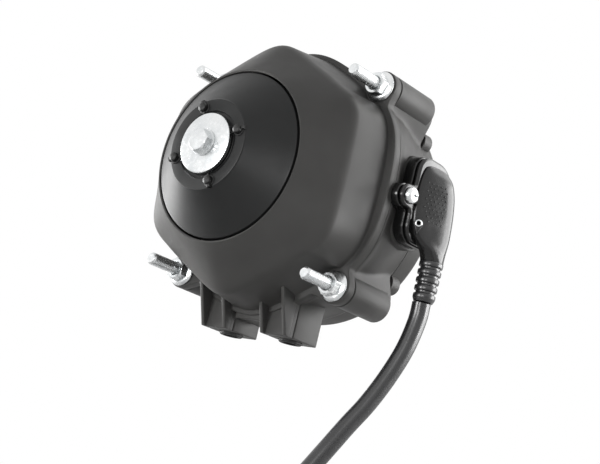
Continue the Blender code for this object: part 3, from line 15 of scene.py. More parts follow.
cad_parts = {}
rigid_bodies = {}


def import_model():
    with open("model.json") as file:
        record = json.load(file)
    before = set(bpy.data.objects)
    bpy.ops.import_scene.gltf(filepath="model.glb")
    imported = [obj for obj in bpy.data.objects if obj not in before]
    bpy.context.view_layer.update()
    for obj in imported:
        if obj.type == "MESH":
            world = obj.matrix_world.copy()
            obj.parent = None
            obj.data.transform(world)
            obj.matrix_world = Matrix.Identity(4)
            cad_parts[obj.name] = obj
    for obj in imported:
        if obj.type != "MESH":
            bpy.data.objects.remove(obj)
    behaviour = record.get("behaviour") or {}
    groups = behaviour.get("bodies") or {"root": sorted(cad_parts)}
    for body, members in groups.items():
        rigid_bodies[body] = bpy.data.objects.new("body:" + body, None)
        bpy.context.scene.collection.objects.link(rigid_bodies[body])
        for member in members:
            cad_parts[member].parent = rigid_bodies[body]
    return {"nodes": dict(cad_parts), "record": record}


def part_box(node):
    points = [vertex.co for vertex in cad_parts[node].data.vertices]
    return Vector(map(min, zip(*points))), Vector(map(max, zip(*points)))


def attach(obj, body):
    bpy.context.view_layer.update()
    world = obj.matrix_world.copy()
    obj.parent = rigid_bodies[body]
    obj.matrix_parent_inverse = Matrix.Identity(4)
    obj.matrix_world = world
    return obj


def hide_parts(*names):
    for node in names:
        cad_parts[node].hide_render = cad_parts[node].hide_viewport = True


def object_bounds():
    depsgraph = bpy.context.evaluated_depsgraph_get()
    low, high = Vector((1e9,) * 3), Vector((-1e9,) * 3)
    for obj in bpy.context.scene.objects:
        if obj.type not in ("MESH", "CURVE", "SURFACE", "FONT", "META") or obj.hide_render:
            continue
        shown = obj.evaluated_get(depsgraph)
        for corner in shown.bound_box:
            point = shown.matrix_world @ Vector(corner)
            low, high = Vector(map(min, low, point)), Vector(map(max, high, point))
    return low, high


for left_over in list(bpy.data.objects):
    bpy.data.objects.remove(left_over)
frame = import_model()
cad_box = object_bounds()
MM = 0.001
TAU = 2 * math.pi
print("solids in the frame:", len(frame["nodes"]))

# %% [markdown]
# ## The camera first
# The photograph was taken a little below the shaft and from the plug's side, with the camera tilted.
# The camera's turn is kept as one axis whose length is the angle in radians, so that the tilt is exact.

# %% Set the camera where the photograph was taken from
CAMERA_PLACE = Vector((398.6, -445.2, -134.7)) * MM
CAMERA_TURN = (-1.76604643, -0.42496747, -0.68132332)
LENS_MM = 95.72


def add_camera():
    angle = Vector(CAMERA_TURN).length
    world_to_camera = Matrix.Rotation(angle, 4, Vector(CAMERA_TURN))
    lens = bpy.data.cameras.new("portrait_lens")
    lens.lens = LENS_MM
    lens.sensor_width = 36
    lens.clip_start = 0.01
    camera = bpy.data.objects.new("portrait_camera", lens)
    bpy.context.scene.collection.objects.link(camera)
    camera.matrix_world = Matrix.Translation(CAMERA_PLACE) @ world_to_camera.transposed()
    bpy.context.scene.camera = camera
    return camera


camera = add_camera()
print("camera looks along", [round(v, 3) for v in camera.matrix_world.col[2][:3]])

# %% [markdown]
# ## Helpers that make plain meshes
# Every finished piece sits at the origin with its place in its mesh. Most surfaces here are grids of
# points: rows of equal length that are joined by quads, and closed round one way or both.

# %% Turn rows of points into a closed skin
def grid_faces(rows, columns, ring_rows=False):
    faces = []
    for i in range(rows if ring_rows else rows - 1):
        a = i * columns
        b = ((i + 1) % rows) * columns
        for j in range(columns):
            k = (j + 1) % columns
            faces.append((a + j, a + k, b + k, b + j))
    return faces


def mesh_of(name, points, faces):
    mesh = bpy.data.meshes.new(name)
    mesh.from_pydata([tuple(p) for p in points], [], faces)
    mesh.update()
    return mesh


def round_row(angles, reach, depth, centre=(0, 0)):
    """One row of points round an axis that runs front to back, in mm."""
    reach, depth = np.broadcast_to(reach, angles.shape), np.broadcast_to(depth, angles.shape)
    return np.stack([centre[0] + reach * np.cos(angles), depth, centre[1] + reach * np.sin(angles)], 1) * MM


def face_outward(mesh):
    shape = bmesh.new()
    shape.from_mesh(mesh)
    bmesh.ops.remove_doubles(shape, verts=shape.verts, dist=0.000001)
    bmesh.ops.recalc_face_normals(shape, faces=shape.faces)
    shape.to_mesh(mesh)
    shape.free()


def soften(mesh, degrees=32):
    mesh.shade_smooth()
    mesh.set_sharp_from_angle(angle=math.radians(degrees))


def skin(name, rows, ring_rows=False, capped=False):
    """A closed mesh from an array of shape (rows, columns, 3)."""
    rows = np.asarray(rows, float)
    count, columns = rows.shape[:2]
    faces = grid_faces(count, columns, ring_rows)
    if capped:
        faces.append(tuple(range(columns)))
        last = (count - 1) * columns
        faces.append(tuple(last + k for k in range(columns)))
    mesh = mesh_of(name, rows.reshape(-1, 3), faces)
    face_outward(mesh)
    soften(mesh)
    return mesh


def mesh_from(name, shape):
    mesh = bpy.data.meshes.new(name)
    shape.to_mesh(mesh)
    shape.free()
    soften(mesh)
    return mesh


def joined(name, meshes):
    shape = bmesh.new()
    for mesh in meshes:
        shape.from_mesh(mesh)
    return mesh_from(name, shape)


print("helpers ready")

# %% Put a finished mesh on its body
def piece(name, mesh, finish, body="housing", stands_for=()):
    made = bpy.data.objects.new(name, mesh)
    bpy.context.scene.collection.objects.link(made)
    mesh.materials.clear()
    mesh.materials.append(finish)
    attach(made, body)
    if stands_for:
        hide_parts(*stands_for)
    print(f"{name}: {len(mesh.polygons)} faces")
    return made


# %% [markdown]
# ## Finishes
# The housing is charcoal plastic with a fine spark texture, so it takes light softly. The same three
# ingredients make every moulded finish here: fine noise in the bump, broader noise in the roughness,
# and the broadest in the colour.

# %% Moulded plastic
def nodes_for(name):
    made = bpy.data.materials.new(name)
    made.use_nodes = True
    tree = made.node_tree
    shader = tree.nodes["Principled BSDF"]
    place = tree.nodes.new("ShaderNodeTexCoord")
    return made, tree, shader, place.outputs["Object"]


def noise(tree, place, size_mm, detail=3.0):
    made = tree.nodes.new("ShaderNodeTexNoise")
    made.inputs["Scale"].default_value = 1000 / size_mm
    made.inputs["Detail"].default_value = detail
    tree.links.new(place, made.inputs["Vector"])
    return made.outputs["Fac"]


def spread_of(tree, source, low, high):
    made = tree.nodes.new("ShaderNodeMapRange")
    made.inputs["From Min"].default_value = 0.3
    made.inputs["From Max"].default_value = 0.7
    made.inputs["To Min"].default_value = low
    made.inputs["To Max"].default_value = high
    tree.links.new(source, made.inputs["Value"])
    return made.outputs["Result"]


def two_tone(tree, source, dark, light):
    made = tree.nodes.new("ShaderNodeValToRGB")
    made.color_ramp.elements[0].position = 0.3
    made.color_ramp.elements[0].color = (*dark, 1)
    made.color_ramp.elements[1].position = 0.7
    made.color_ramp.elements[1].color = (*light, 1)
    tree.links.new(source, made.inputs["Fac"])
    return made.outputs["Color"]


def bumped(tree, shader, source, height_mm):
    made = tree.nodes.new("ShaderNodeBump")
    made.inputs["Strength"].default_value = 1.0
    made.inputs["Distance"].default_value = height_mm * MM
    tree.links.new(source, made.inputs["Height"])
    tree.links.new(made.outputs["Normal"], shader.inputs["Normal"])


def moulded(name, dark, light, rough, grain_mm=0.5, bump_mm=0.02, specular=0.5):
    made, tree, shader, place = nodes_for(name)
    broad = noise(tree, place, 18, 2.0)
    tree.links.new(two_tone(tree, broad, dark, light), shader.inputs["Base Color"])
    tree.links.new(spread_of(tree, noise(tree, place, 6, 4.0), *rough), shader.inputs["Roughness"])
    bumped(tree, shader, noise(tree, place, grain_mm, 3.0), bump_mm)
    shader.inputs["Specular IOR Level"].default_value = specular
    made.diffuse_color = (*light, 1)
    return made


CHARCOAL = moulded(
    "charcoal_moulding", (0.049, 0.0482, 0.0467), (0.057, 0.0560, 0.0543), (0.40, 0.48), 0.45, 0.012, 0.2
)
ROTOR_CHARCOAL = moulded(
    "rotor_moulding", (0.0115, 0.0118, 0.0120), (0.0150, 0.0155, 0.0155), (0.34, 0.42), 0.45, 0.010, 0.25
)
INLET_BLACK = moulded("inlet_black", (0.006, 0.006, 0.006), (0.009, 0.009, 0.009), (0.14, 0.24), 1.2, 0.01)
PEG_BLACK = moulded("peg_black", (0.004, 0.004, 0.004), (0.007, 0.007, 0.007), (0.42, 0.5), 1.2, 0.01, 0.35)
LEAD_SHEATH = moulded(
    "lead_sheath", (0.012, 0.012, 0.013), (0.017, 0.017, 0.018), (0.24, 0.32), 0.8, 0.008, 0.8
)
BLACK_RUBBER = moulded("black_rubber", (0.010, 0.010, 0.010), (0.014, 0.014, 0.014), (0.55, 0.7), 0.6, 0.02)
print("plastics ready")

# %% [markdown]
# ## Metal
# The studs, nuts, washer, bolt, screws and eyelet are bright zinc plate. Zinc has a faint cloudy
# spangle, so its roughness drifts, and its colour is a cool near-white.

# %% Bright zinc and ground steel
def metal(name, dark, light, rough, grain_mm, bump_mm):
    made, tree, shader, place = nodes_for(name)
    cloud = noise(tree, place, grain_mm * 3, 3.0)
    tree.links.new(two_tone(tree, cloud, dark, light), shader.inputs["Base Color"])
    tree.links.new(spread_of(tree, noise(tree, place, grain_mm, 4.0), *rough), shader.inputs["Roughness"])
    bumped(tree, shader, noise(tree, place, grain_mm * 0.5, 2.0), bump_mm)
    shader.inputs["Metallic"].default_value = 1.0
    made.diffuse_color = (*light, 1)
    return made


ZINC = metal("bright_zinc_plate", (0.66, 0.68, 0.69), (0.78, 0.79, 0.79), (0.20, 0.30), 1.6, 0.002)
STEEL = metal("ground_steel_face", (0.50, 0.50, 0.51), (0.62, 0.62, 0.62), (0.22, 0.34), 1.0, 0.004)
LAMINATION = metal("laminated_steel", (0.22, 0.22, 0.23), (0.32, 0.32, 0.33), (0.4, 0.55), 1.0, 0.01)
CASTING = metal("die_casting", (0.48, 0.48, 0.49), (0.58, 0.58, 0.59), (0.35, 0.5), 1.5, 0.02)
COPPER = metal("enamelled_wire", (0.55, 0.20, 0.08), (0.68, 0.28, 0.12), (0.25, 0.4), 0.6, 0.03)
BRASS = metal("tinned_contact", (0.62, 0.50, 0.28), (0.72, 0.62, 0.40), (0.22, 0.35), 0.8, 0.004)
print("metals ready")

# %% [markdown]
# ## The six-sided housing
# From the front its outline is a hexagon with soft corners. One formula draws it: for a direction,
# each pair of sides says how far away it is, and a power mean of the three blends them. A high power
# gives crisp corners and a low one gives round corners, so the same rule serves the crease and the foot.

# %% The outline rule
COLUMNS = 720
ANGLES = np.linspace(0, TAU, COLUMNS, endpoint=False)
STUD_X = 38.35
STUD_Z = 38.7


def hex_reach(side, slant, power):
    total = np.zeros(COLUMNS)
    for k, flat in enumerate((side, slant, slant)):
        total += (np.abs(np.cos(ANGLES - k * math.pi / 3)) / flat) ** power
    return total ** (-1 / power)


def largest(*reaches, power=70):
    total = sum(np.maximum(r, 0.001) ** power for r in reaches)
    return total ** (1 / power)


def smallest(*reaches, power=90):
    total = sum(np.maximum(r, 0.001) ** -float(power) for r in reaches)
    return total ** (-1 / power)


STUD_PLACES = [(sx * STUD_X, sz * STUD_Z) for sz in (1, -1) for sx in (-1, 1)]
print("hexagon rule with", COLUMNS, "directions and", len(STUD_PLACES), "stud places")

# %% [markdown]
# Each stud boss is a round corner whose two sides run in to the housing. Seen from the shaft, a
# direction meets the round part or one of the sides, so the boss also has a reach for each direction,
# and the housing's outline is the larger of the two. Round each nut the front is cut back by a round
# pocket, and there the smaller reach is taken.

# %% Bosses and nut pockets as reaches
BOSS_R = 6.5
LEAN = math.radians(19)


def boss_reach(radius, inset=1.0):
    made = np.zeros(COLUMNS)
    for x, z in STUD_PLACES:
        far = math.hypot(x, z) * inset
        turn = (ANGLES - math.atan2(z, x) + math.pi) % TAU - math.pi
        half = math.pi / 4 + LEAN
        end_u = far + radius * math.cos(half)
        end_v = radius * math.sin(half)
        slope = 1 / math.tan(half)
        side = (end_v + end_u * slope) / (np.sin(np.abs(turn)) + slope * np.cos(turn))
        inside = np.maximum(radius**2 - (far * np.sin(turn)) ** 2, 0)
        arc = far * np.cos(turn) + np.sqrt(inside)
        reach = np.where(np.abs(turn) < math.atan2(end_v, end_u), arc, side)
        made = np.maximum(made, np.where(np.abs(turn) < math.pi / 5, reach, 0))
    return made


def pocket_reach(radius):
    made = np.full(COLUMNS, 999.0)
    for x, z in STUD_PLACES:
        far = math.hypot(x, z)
        turn = (ANGLES - math.atan2(z, x) + math.pi) % TAU - math.pi
        inside = radius**2 - (far * np.sin(turn)) ** 2
        near = far * np.cos(turn) - np.sqrt(np.maximum(inside, 0))
        made = np.where((inside > 0) & (np.cos(turn) > 0), np.minimum(made, near), made)
    return made


def ring(depth, reach):
    return round_row(ANGLES, reach, depth)


print("boss reach", round(float(boss_reach(BOSS_R).max()), 2), "mm")

# %% [markdown]
# The front shell is one skin: up the inner wall of the rotor opening, over its rim, along the bulged
# front to the crease, down the drafted sides, out over the ledge and the bosses, and round the flange.

# %% The front shell
RIM, RIM_DEPTH = 33.1, -31.3
CREASE_DEPTH = -17.7
# Half widths across the side and slanted flats, and the power that rounds the corners
CREASE = (45.0, 45.0, 14.0)
SKIRT_FOOT = (48.7, 48.4, 7.5)
FLANGE_EDGE = (52.3, 50.9, 6.5)
FLANGE_BACK = 4.05
FLANGE_STEPS = ((0, 0.7), (0.06, 0.35), (0.2, 0.12), (0.45, 0.0), (2.2, 0.0), (3.8, 0.05), (FLANGE_BACK, 0.3))
POCKET_R = 6.85
INNER_WALL_R = 45.5


def mix(a, b, t):
    return a + (b - a) * t


def cover_profile(steps=9):
    """Pairs of (depth, reach) from the rim to the foot, with a quadratic curve over the crease."""
    rim = (np.full(COLUMNS, RIM_DEPTH), np.full(COLUMNS, RIM + 0.7))
    crease = (np.full(COLUMNS, CREASE_DEPTH), hex_reach(*CREASE))
    foot = (np.full(COLUMNS, 0.0), hex_reach(*SKIRT_FOOT))

    def along(a, b, t):
        return tuple(mix(p, q, t) for p, q in zip(a, b))

    into, out = along(crease, rim, 0.13), along(crease, foot, 0.13)
    made = [along(rim, into, t) for t in np.linspace(0, 1, 6)[:-1]]
    made += [along(along(into, crease, t), along(crease, out, t), t) for t in np.linspace(0, 1, steps)]
    made += [along(out, foot, t) for t in np.linspace(0, 1, 9)[1:]]
    return made


def front_shell():
    pocket = pocket_reach(POCKET_R)
    rows = [ring(-28.6, RIM), ring(RIM_DEPTH + 0.3, RIM), ring(RIM_DEPTH + 0.09, RIM + 0.09)]
    rows.append(ring(RIM_DEPTH, RIM + 0.3))
    for depth, reach in cover_profile():
        rows.append(ring(depth, smallest(reach, pocket)))
    foot = smallest(hex_reach(*SKIRT_FOOT), pocket)
    rows[-1] = ring(-0.7, foot)
    rows.append(ring(-0.2, foot + 0.2))
    rows.append(ring(0, foot + 0.7))
    edge = largest(hex_reach(*FLANGE_EDGE), boss_reach(BOSS_R))
    for depth, inset in FLANGE_STEPS:
        rows.append(ring(depth, np.maximum(edge - inset, foot + 0.8)))
    rows.append(ring(FLANGE_BACK, INNER_WALL_R))
    rows.append(ring(-14.0, 41.0))
    return skin("front_shell", rows, ring_rows=True)


shell = front_shell()
print("front shell", len(shell.vertices), "points")

# %% [markdown]
# The feet hang under the seam. In front each has two thin ribs with a raked edge and a web set back
# between them. Boxes with small bevels sink into the shell, as the moulding's own walls do.

# %% Foot fronts
def rounded(shape, edges, width, segments=3):
    bmesh.ops.bevel(
        shape, geom=edges, offset=width * MM, segments=segments, affect="EDGES", profile=0.5
    )


def block(name, low, high, edge=0.35, segments=3):
    shape = bmesh.new()
    bmesh.ops.create_cube(shape, size=1.0)
    bmesh.ops.scale(shape, vec=(Vector(high) - Vector(low)) * MM, verts=shape.verts)
    bmesh.ops.translate(shape, vec=(Vector(high) + Vector(low)) / 2 * MM, verts=shape.verts)
    rounded(shape, shape.edges[:], edge, segments)
    return mesh_from(name, shape)


def slab(name, outline, start, end, axis, edge=0.3):
    """An outline in mm extruded along X or Y between two places, with all edges rounded."""
    shape = bmesh.new()
    order = {"x": lambda u, v, w: (w, u, v), "y": lambda u, v, w: (u, w, v)}[axis]
    near = [shape.verts.new(Vector(order(u, v, start)) * MM) for u, v in outline]
    far = [shape.verts.new(Vector(order(u, v, end)) * MM) for u, v in outline]
    shape.faces.new(near)
    shape.faces.new(far)
    for k in range(len(near)):
        after = (k + 1) % len(near)
        shape.faces.new((near[k], near[after], far[after], far[k]))
    bmesh.ops.recalc_face_normals(shape, faces=shape.faces)
    caps = [e for e in shape.edges if e.calc_face_angle(0) > math.radians(40)]
    if edge:
        rounded(shape, caps, edge)
    return mesh_from(name, shape)


FOOT_MIDDLE, FOOT_HALF = 15.0, 6.3
FOOT_UNDER, FOOT_TOP = -59, -42
FOOT_HOLE_Y, FOOT_HOLE_R = 10.8, 4.8
BRIDGE_UNDER, BRIDGE_TOP = -54.3, -46


def foot_fronts():
    made = []
    for side in (-1, 1):
        low = side * FOOT_MIDDLE - FOOT_HALF
        made.append(block("web", (low + 0.1, 0.7, FOOT_UNDER), (low + 12.5, FLANGE_BACK, -44), 0.3))
        for edge in (low, low + 11.0):
            rib = [(-0.3, FOOT_UNDER), (2.0, FOOT_UNDER), (2.0, FOOT_TOP), (-7.6, FOOT_TOP)]
            made.append(slab("rib", rib, edge, edge + 1.6, "x", 0.3))
    made.append(block("bridge", (-FOOT_HALF, 0.9, BRIDGE_UNDER), (FOOT_HALF, FLANGE_BACK, BRIDGE_TOP), 0.3))
    return made


front_mesh = joined("front_housing_skin", [shell, *foot_fronts()])
piece("front_housing_skin", front_mesh, CHARCOAL, "housing", ["front_housing"])

# %% [markdown]
# ## The rear housing
# Behind the seam the six-sided tub becomes round as it goes back. Its reach at each depth is a mix of
# the hexagon and a circle, with the webs of the bosses where they run. The bosses' own cylinders are
# turned further on.

# %% The rear shell
TUB_FRONT, TUB_EVEN, TUB_ROUND, TUB_BACK = 4.35, 8.5, 29.9, 30.5
TUB_FRONT_FLATS = (52.0, 50.3)
TUB_EVEN_FLATS = (50.8, 49.2)
TUB_POWER = 6.5
TUB_BACK_R = 47.4
TUB_BORE_R = 43.4
LIP_FRONT = 4.06
WEB_DEPTHS = (7, 9, 11, 13, 15, 17, 19, 21, 23, 25, 27.2, 28.9)


def tub_reach(depth):
    if depth <= TUB_EVEN:
        share = max(0.0, (depth - TUB_FRONT) / (TUB_EVEN - TUB_FRONT))
        side, slant = (mix(a, b, share) for a, b in zip(TUB_FRONT_FLATS, TUB_EVEN_FLATS))
        return hex_reach(side, slant, TUB_POWER)
    share = min(1.0, (depth - TUB_EVEN) / (TUB_ROUND - TUB_EVEN))
    return mix(hex_reach(*TUB_EVEN_FLATS, TUB_POWER), TUB_BACK_R, share * share * (3 - 2 * share))


def rear_shell():
    web = boss_reach(BOSS_R * 1.03, 0.94)
    seam = largest(tub_reach(TUB_FRONT), web)
    # A low lip inside the seam stops light from showing through the gap
    rows = [ring(LIP_FRONT, INNER_WALL_R), ring(LIP_FRONT, seam - 1.2), ring(TUB_FRONT, seam - 1.1)]
    for depth, inset in ((TUB_FRONT, 0.3), (4.6, 0.05), (5.0, 0.0)):
        rows.append(ring(depth, seam - inset))
    for depth, inset in (*((depth, 0) for depth in WEB_DEPTHS), (29.35, 0.12), (29.6, 0.5)):
        rows.append(ring(depth, largest(tub_reach(depth), web - inset)))
    for depth, inset in ((29.65, 0.0), (30.1, 0.1), (30.4, 0.35), (TUB_BACK, 0.7)):
        rows.append(ring(depth, tub_reach(depth) - inset))
    rows += [ring(TUB_BACK, TUB_BORE_R), ring(16.0, TUB_BORE_R)]
    return skin("rear_shell", rows, ring_rows=True)


def made_mesh(obj, name):
    bpy.context.view_layer.update()
    mesh = bpy.data.meshes.new_from_object(obj.evaluated_get(bpy.context.evaluated_depsgraph_get()))
    mesh.name = name
    bpy.data.objects.remove(obj)
    return mesh


def carved(mesh, tool_mesh):
    """Takes one closed mesh out of another with an exact Boolean."""
    target = bpy.data.objects.new("target", mesh)
    tool = bpy.data.objects.new("tool", tool_mesh)
    for made in (target, tool):
        bpy.context.scene.collection.objects.link(made)
    step = target.modifiers.new("carve", "BOOLEAN")
    step.operation = "DIFFERENCE"
    step.solver = "EXACT"
    step.object = tool
    result = made_mesh(target, mesh.name)
    bpy.data.objects.remove(tool)
    soften(result)
    return result


def pierced(mesh, centre, radius, start, end, sides=48):
    """Cuts an upright hole in a mesh, in mm."""
    shape = bmesh.new()
    wide = radius * MM
    bmesh.ops.create_cone(
        shape, cap_ends=True, segments=sides, radius1=wide, radius2=wide, depth=(end - start) * MM
    )
    bmesh.ops.translate(shape, vec=Vector((*centre, (start + end) / 2)) * MM, verts=shape.verts)
    return carved(mesh, mesh_from("drill", shape))


def rounded_outline(low, high, radius, steps=8):
    """A rounded rectangle in two numbers, in mm."""
    made = []
    for quarter, (su, sv) in enumerate(((1, 1), (-1, 1), (-1, -1), (1, -1))):
        u = (high[0] if su > 0 else low[0]) - su * radius
        v = (high[1] if sv > 0 else low[1]) - sv * radius
        for k in range(steps + 1):
            turn = math.pi / 2 * (quarter + k / steps)
            made.append((u + radius * math.cos(turn), v + radius * math.sin(turn)))
    return made


def foot_blocks():
    made = []
    for side in (-1, 1):
        low = side * FOOT_MIDDLE - FOOT_HALF
        foot = block("foot", (low, TUB_FRONT, FOOT_UNDER), (low + 2 * FOOT_HALF, 18.9, FOOT_TOP), 0.45)
        made.append(block("joint", (low + 0.9, LIP_FRONT, -58.1), (low + 11.7, 4.9, -43), 0.05, 1))
        made.append(pierced(foot, (side * FOOT_MIDDLE, FOOT_HOLE_Y), FOOT_HOLE_R, -62, -48))
    made.append(block("bridge", (-FOOT_HALF, TUB_FRONT, BRIDGE_UNDER), (FOOT_HALF, 16.0, BRIDGE_TOP), 0.35))
    return made


def inlet_seat():
    outline = rounded_outline((9.6, -17.5), (30.2, 17.5), 7.7)
    return slab("seat", outline, 44.0, 50.2, "x", 0.25)


rear_meshes = [rear_shell(), *foot_blocks(), inlet_seat()]
print("rear housing in", len(rear_meshes), "meshes")

# %% [markdown]
# ## Turned pieces by Geometry Nodes
# The rotor hub, washer, bosses, rear cover, screws and relief are all turned: a profile swept round an
# axis. A small node tree does that for any profile curve, and its Steps input sets how fine the circle
# is. The circle is tiny, and the profile's own points carry the real radii.

# %% A node tree that turns a profile
def socket(tree, name, kind, default=None, out=False):
    made = tree.interface.new_socket(name, in_out="OUTPUT" if out else "INPUT", socket_type=kind)
    if default is not None:
        made.default_value = default
    return made


def start_tree(name, *inputs):
    """A geometry tree with its input node. Each input is a name and a kind, and may have a default."""
    tree = bpy.data.node_groups.new(name, "GeometryNodeTree")
    for values in (("Geometry", "NodeSocketGeometry"), *inputs, ("Finish", "NodeSocketMaterial")):
        socket(tree, *values)
    socket(tree, "Geometry", "NodeSocketGeometry", out=True)
    return tree, tree.nodes.new("NodeGroupInput")


def end_tree(tree, start, last):
    """Makes the instances real, gives them the finish, and ends the tree."""
    realize = tree.nodes.new("GeometryNodeRealizeInstances")
    paint = tree.nodes.new("GeometryNodeSetMaterial")
    end = tree.nodes.new("NodeGroupOutput")
    tree.links.new(last, realize.inputs["Geometry"])
    tree.links.new(realize.outputs["Geometry"], paint.inputs["Geometry"])
    tree.links.new(start.outputs["Finish"], paint.inputs["Material"])
    tree.links.new(paint.outputs["Geometry"], end.inputs["Geometry"])
    return tree


def turning_tree():
    tree, start = start_tree("turn_profile", ("Steps", "NodeSocketInt", 96))
    circle = tree.nodes.new("GeometryNodeCurvePrimitiveCircle")
    circle.inputs["Radius"].default_value = 0.000001
    sweep = tree.nodes.new("GeometryNodeCurveToMesh")
    tree.links.new(start.outputs["Steps"], circle.inputs["Resolution"])
    tree.links.new(circle.outputs["Curve"], sweep.inputs["Curve"])
    tree.links.new(start.outputs["Geometry"], sweep.inputs["Profile Curve"])
    return end_tree(tree, start, sweep.outputs["Mesh"])


def set_input(modifier, name, value):
    for item in modifier.node_group.interface.items_tree:
        if item.item_type == "SOCKET" and item.in_out == "INPUT" and item.name == name:
            modifier[item.identifier] = value


TURNING = turning_tree()


def polyline(name, places):
    """A curve object through the places, in metres."""
    curve = bpy.data.curves.new(name, "CURVE")
    curve.dimensions = "3D"
    line = curve.splines.new("POLY")
    line.points.add(len(places) - 1)
    for point, place in zip(line.points, places):
        point.co = (*place, 1)
    made = bpy.data.objects.new(name, curve)
    bpy.context.scene.collection.objects.link(made)
    return made


def turned(name, profile, finish, centre=(0, 0), facing="front", steps=128):
    """A profile of (radius, depth) in mm about the shaft's line, or about a line beside it."""
    holder = polyline(name, [(radius * MM, depth * MM, 0) for radius, depth in profile])
    holder.data.splines[0].use_cyclic_u = True
    step = holder.modifiers.new("turn", "NODES")
    step.node_group = TURNING
    set_input(step, "Steps", steps)
    set_input(step, "Finish", finish)
    mesh = made_mesh(holder, name)
    points = np.empty(len(mesh.vertices) * 3)
    mesh.vertices.foreach_get("co", points)
    points = points.reshape(-1, 3)
    reach = np.hypot(points[:, 0], points[:, 1])
    angle = np.arctan2(points[:, 1], points[:, 0])
    depth = -points[:, 2]
    a, b = centre[0] * MM, centre[1] * MM
    across, up = reach * np.cos(angle), reach * np.sin(angle)
    places = {
        "front": (a + across, depth, b + up),
        "right": (depth, a + across, b + up),
        "up": (a + across, b + up, depth),
    }[facing]
    mesh.vertices.foreach_set("co", np.stack(places, 1).ravel())
    face_outward(mesh)
    soften(mesh)
    return mesh


print("turning tree has", len(TURNING.nodes), "nodes")

# %% [markdown]
# ## Bosses and the rear cover
# Each stud stands in a round boss that is a closed piece of its own, so its edge beside the web stays
# crisp. The cover is a turned cap, and four small turned lugs carry its screws.

# %% Bosses and the rear cover
def boss_cylinders():
    """Round bosses for the four studs."""
    side = [(6.25, 4.4), (BOSS_R, 4.65), (BOSS_R, 26.9), (6.43, 27.1), (6.2, 27.2)]
    profile = [(0.02, 4.4), *side, (0.02, 27.2)]
    return [turned("boss", profile, CHARCOAL, (x, z), steps=96) for x, z in STUD_PLACES]


rear_meshes += boss_cylinders()
rear_mesh = joined("rear_housing_skin", rear_meshes)
piece("rear_housing_skin", rear_mesh, CHARCOAL, "housing", ["rear_housing"])


def rear_cover():
    """A cap with a rounded back edge, a raised ring and a shallow dish, and its four screw lugs."""
    made = [(0.02, 31.2), (44.6, 31.2), (44.6, 30.8), (46.5, 30.8), (46.8, 31.1)]
    for k in range(9):
        turn = math.pi / 2 * k / 8
        made.append((43.8 + 3.0 * math.cos(turn), 38.0 + 3.0 * math.sin(turn)))
    made += [(36.0, 41.0), (35.6, 40.9), (35.2, 40.5), (34.9, 40.3), (15.0, 40.3), (14.7, 40.45)]
    made += [(14.2, 41.0), (11.8, 41.0), (11.3, 40.45), (11.0, 40.3), (0.02, 40.3)]
    lug = [(0.02, 30.95), (3.7, 30.95), (3.9, 31.15), (3.9, 35.9), (3.7, 36.15), (0.02, 36.15)]
    meshes = [turned("cap", made, CHARCOAL, steps=192)]
    for x, z in LUG_PLACES:
        meshes.append(turned("lug", lug, CHARCOAL, (x, z), steps=64))
    return meshes


LUG_PITCH_R, LUG_TURN = 46.4, math.radians(38)
LUG_X, LUG_Z = LUG_PITCH_R * math.cos(LUG_TURN), LUG_PITCH_R * math.sin(LUG_TURN)
LUG_PLACES = [(sx * LUG_X, sz * LUG_Z) for sx in (-1, 1) for sz in (1, -1)]
cover_mesh = joined("rear_cover_skin", rear_cover())
piece("rear_cover_skin", cover_mesh, CHARCOAL, "housing", ["rear_cover"])

# %% [markdown]
# ## The conical hub
# The hub fills the rotor opening. Its front is flat, with a round groove just outside the washer, and
# ends in a soft step. From there a cone falls back to the running gap. Four domed pegs with small fins
# stand on the flat ring.

# %% Hub, pegs and washer
def hub_profile():
    cone_end = 32.45
    return [
        (3.2, -42.0), (3.2, -43.1), (11.1, -43.1), (11.4, -42.95), (11.4, -42.3), (11.65, -42.1),
        (12.75, -42.1), (13.0, -42.3), (13.05, -42.95), (13.25, -43.1), (17.15, -43.1), (17.5, -43.02),
        (17.7, -42.75), (17.95, -42.55), (cone_end - 0.9, -32.0), (cone_end - 0.2, -31.55), (cone_end, -30.9),
        (31.9, -12.0), (31.0, -12.0), (31.0, -28.5), (17.0, -39.5), (6.0, -39.5),
    ]


hub_mesh = turned("hub_turned", hub_profile(), ROTOR_CHARCOAL, steps=180)
PEG_PITCH_R = 15.0
PEG_TURNS = [math.radians(22.3 + 90 * k) for k in range(4)]


def peg(centre):
    """A short round post with a domed end, on a low collar."""
    profile = [
        (0.02, -42.6), (2.35, -42.6), (2.35, -43.3), (2.2, -43.45), (1.75, -43.5), (1.7, -44.6), (1.6, -44.9),
        (1.3, -45.1), (0.7, -45.2), (0.02, -45.22),
    ]
    return turned("peg", profile, PEG_BLACK, centre, steps=40)


def driver_lugs():
    made = []
    for turn in PEG_TURNS:
        c, s = math.cos(turn), math.sin(turn)
        made.append(peg((PEG_PITCH_R * c, PEG_PITCH_R * s)))
        for reach, half, front in ((16.9, 0.75, -44.3), (13.0, 0.4, -43.9)):
            corners = ((-0.9, -half), (0.9, -half), (0.9, half), (-0.9, half))
            outline = [(c * (reach + a) - s * b, s * (reach + a) + c * b) for a, b in corners]
            made.append(slab("fin", outline, -42.7, front, "y", 0.12))
    return made


piece("hub_skin", hub_mesh, ROTOR_CHARCOAL, "rotor", ["rotor_hub"])
piece("driver_lugs", joined("driver_lugs", driver_lugs()), PEG_BLACK, "rotor")

WASHER = [
    (3.0, -43.15), (3.0, -44.6), (3.15, -44.75), (11.2, -44.75), (11.45, -44.68), (11.58, -44.5),
    (11.6, -43.4), (11.5, -43.2), (11.3, -43.15),
]
washer = turned("washer_skin", WASHER, ZINC, steps=160)
piece("washer_skin", washer, ZINC, "rotor", ["blade_washer"])

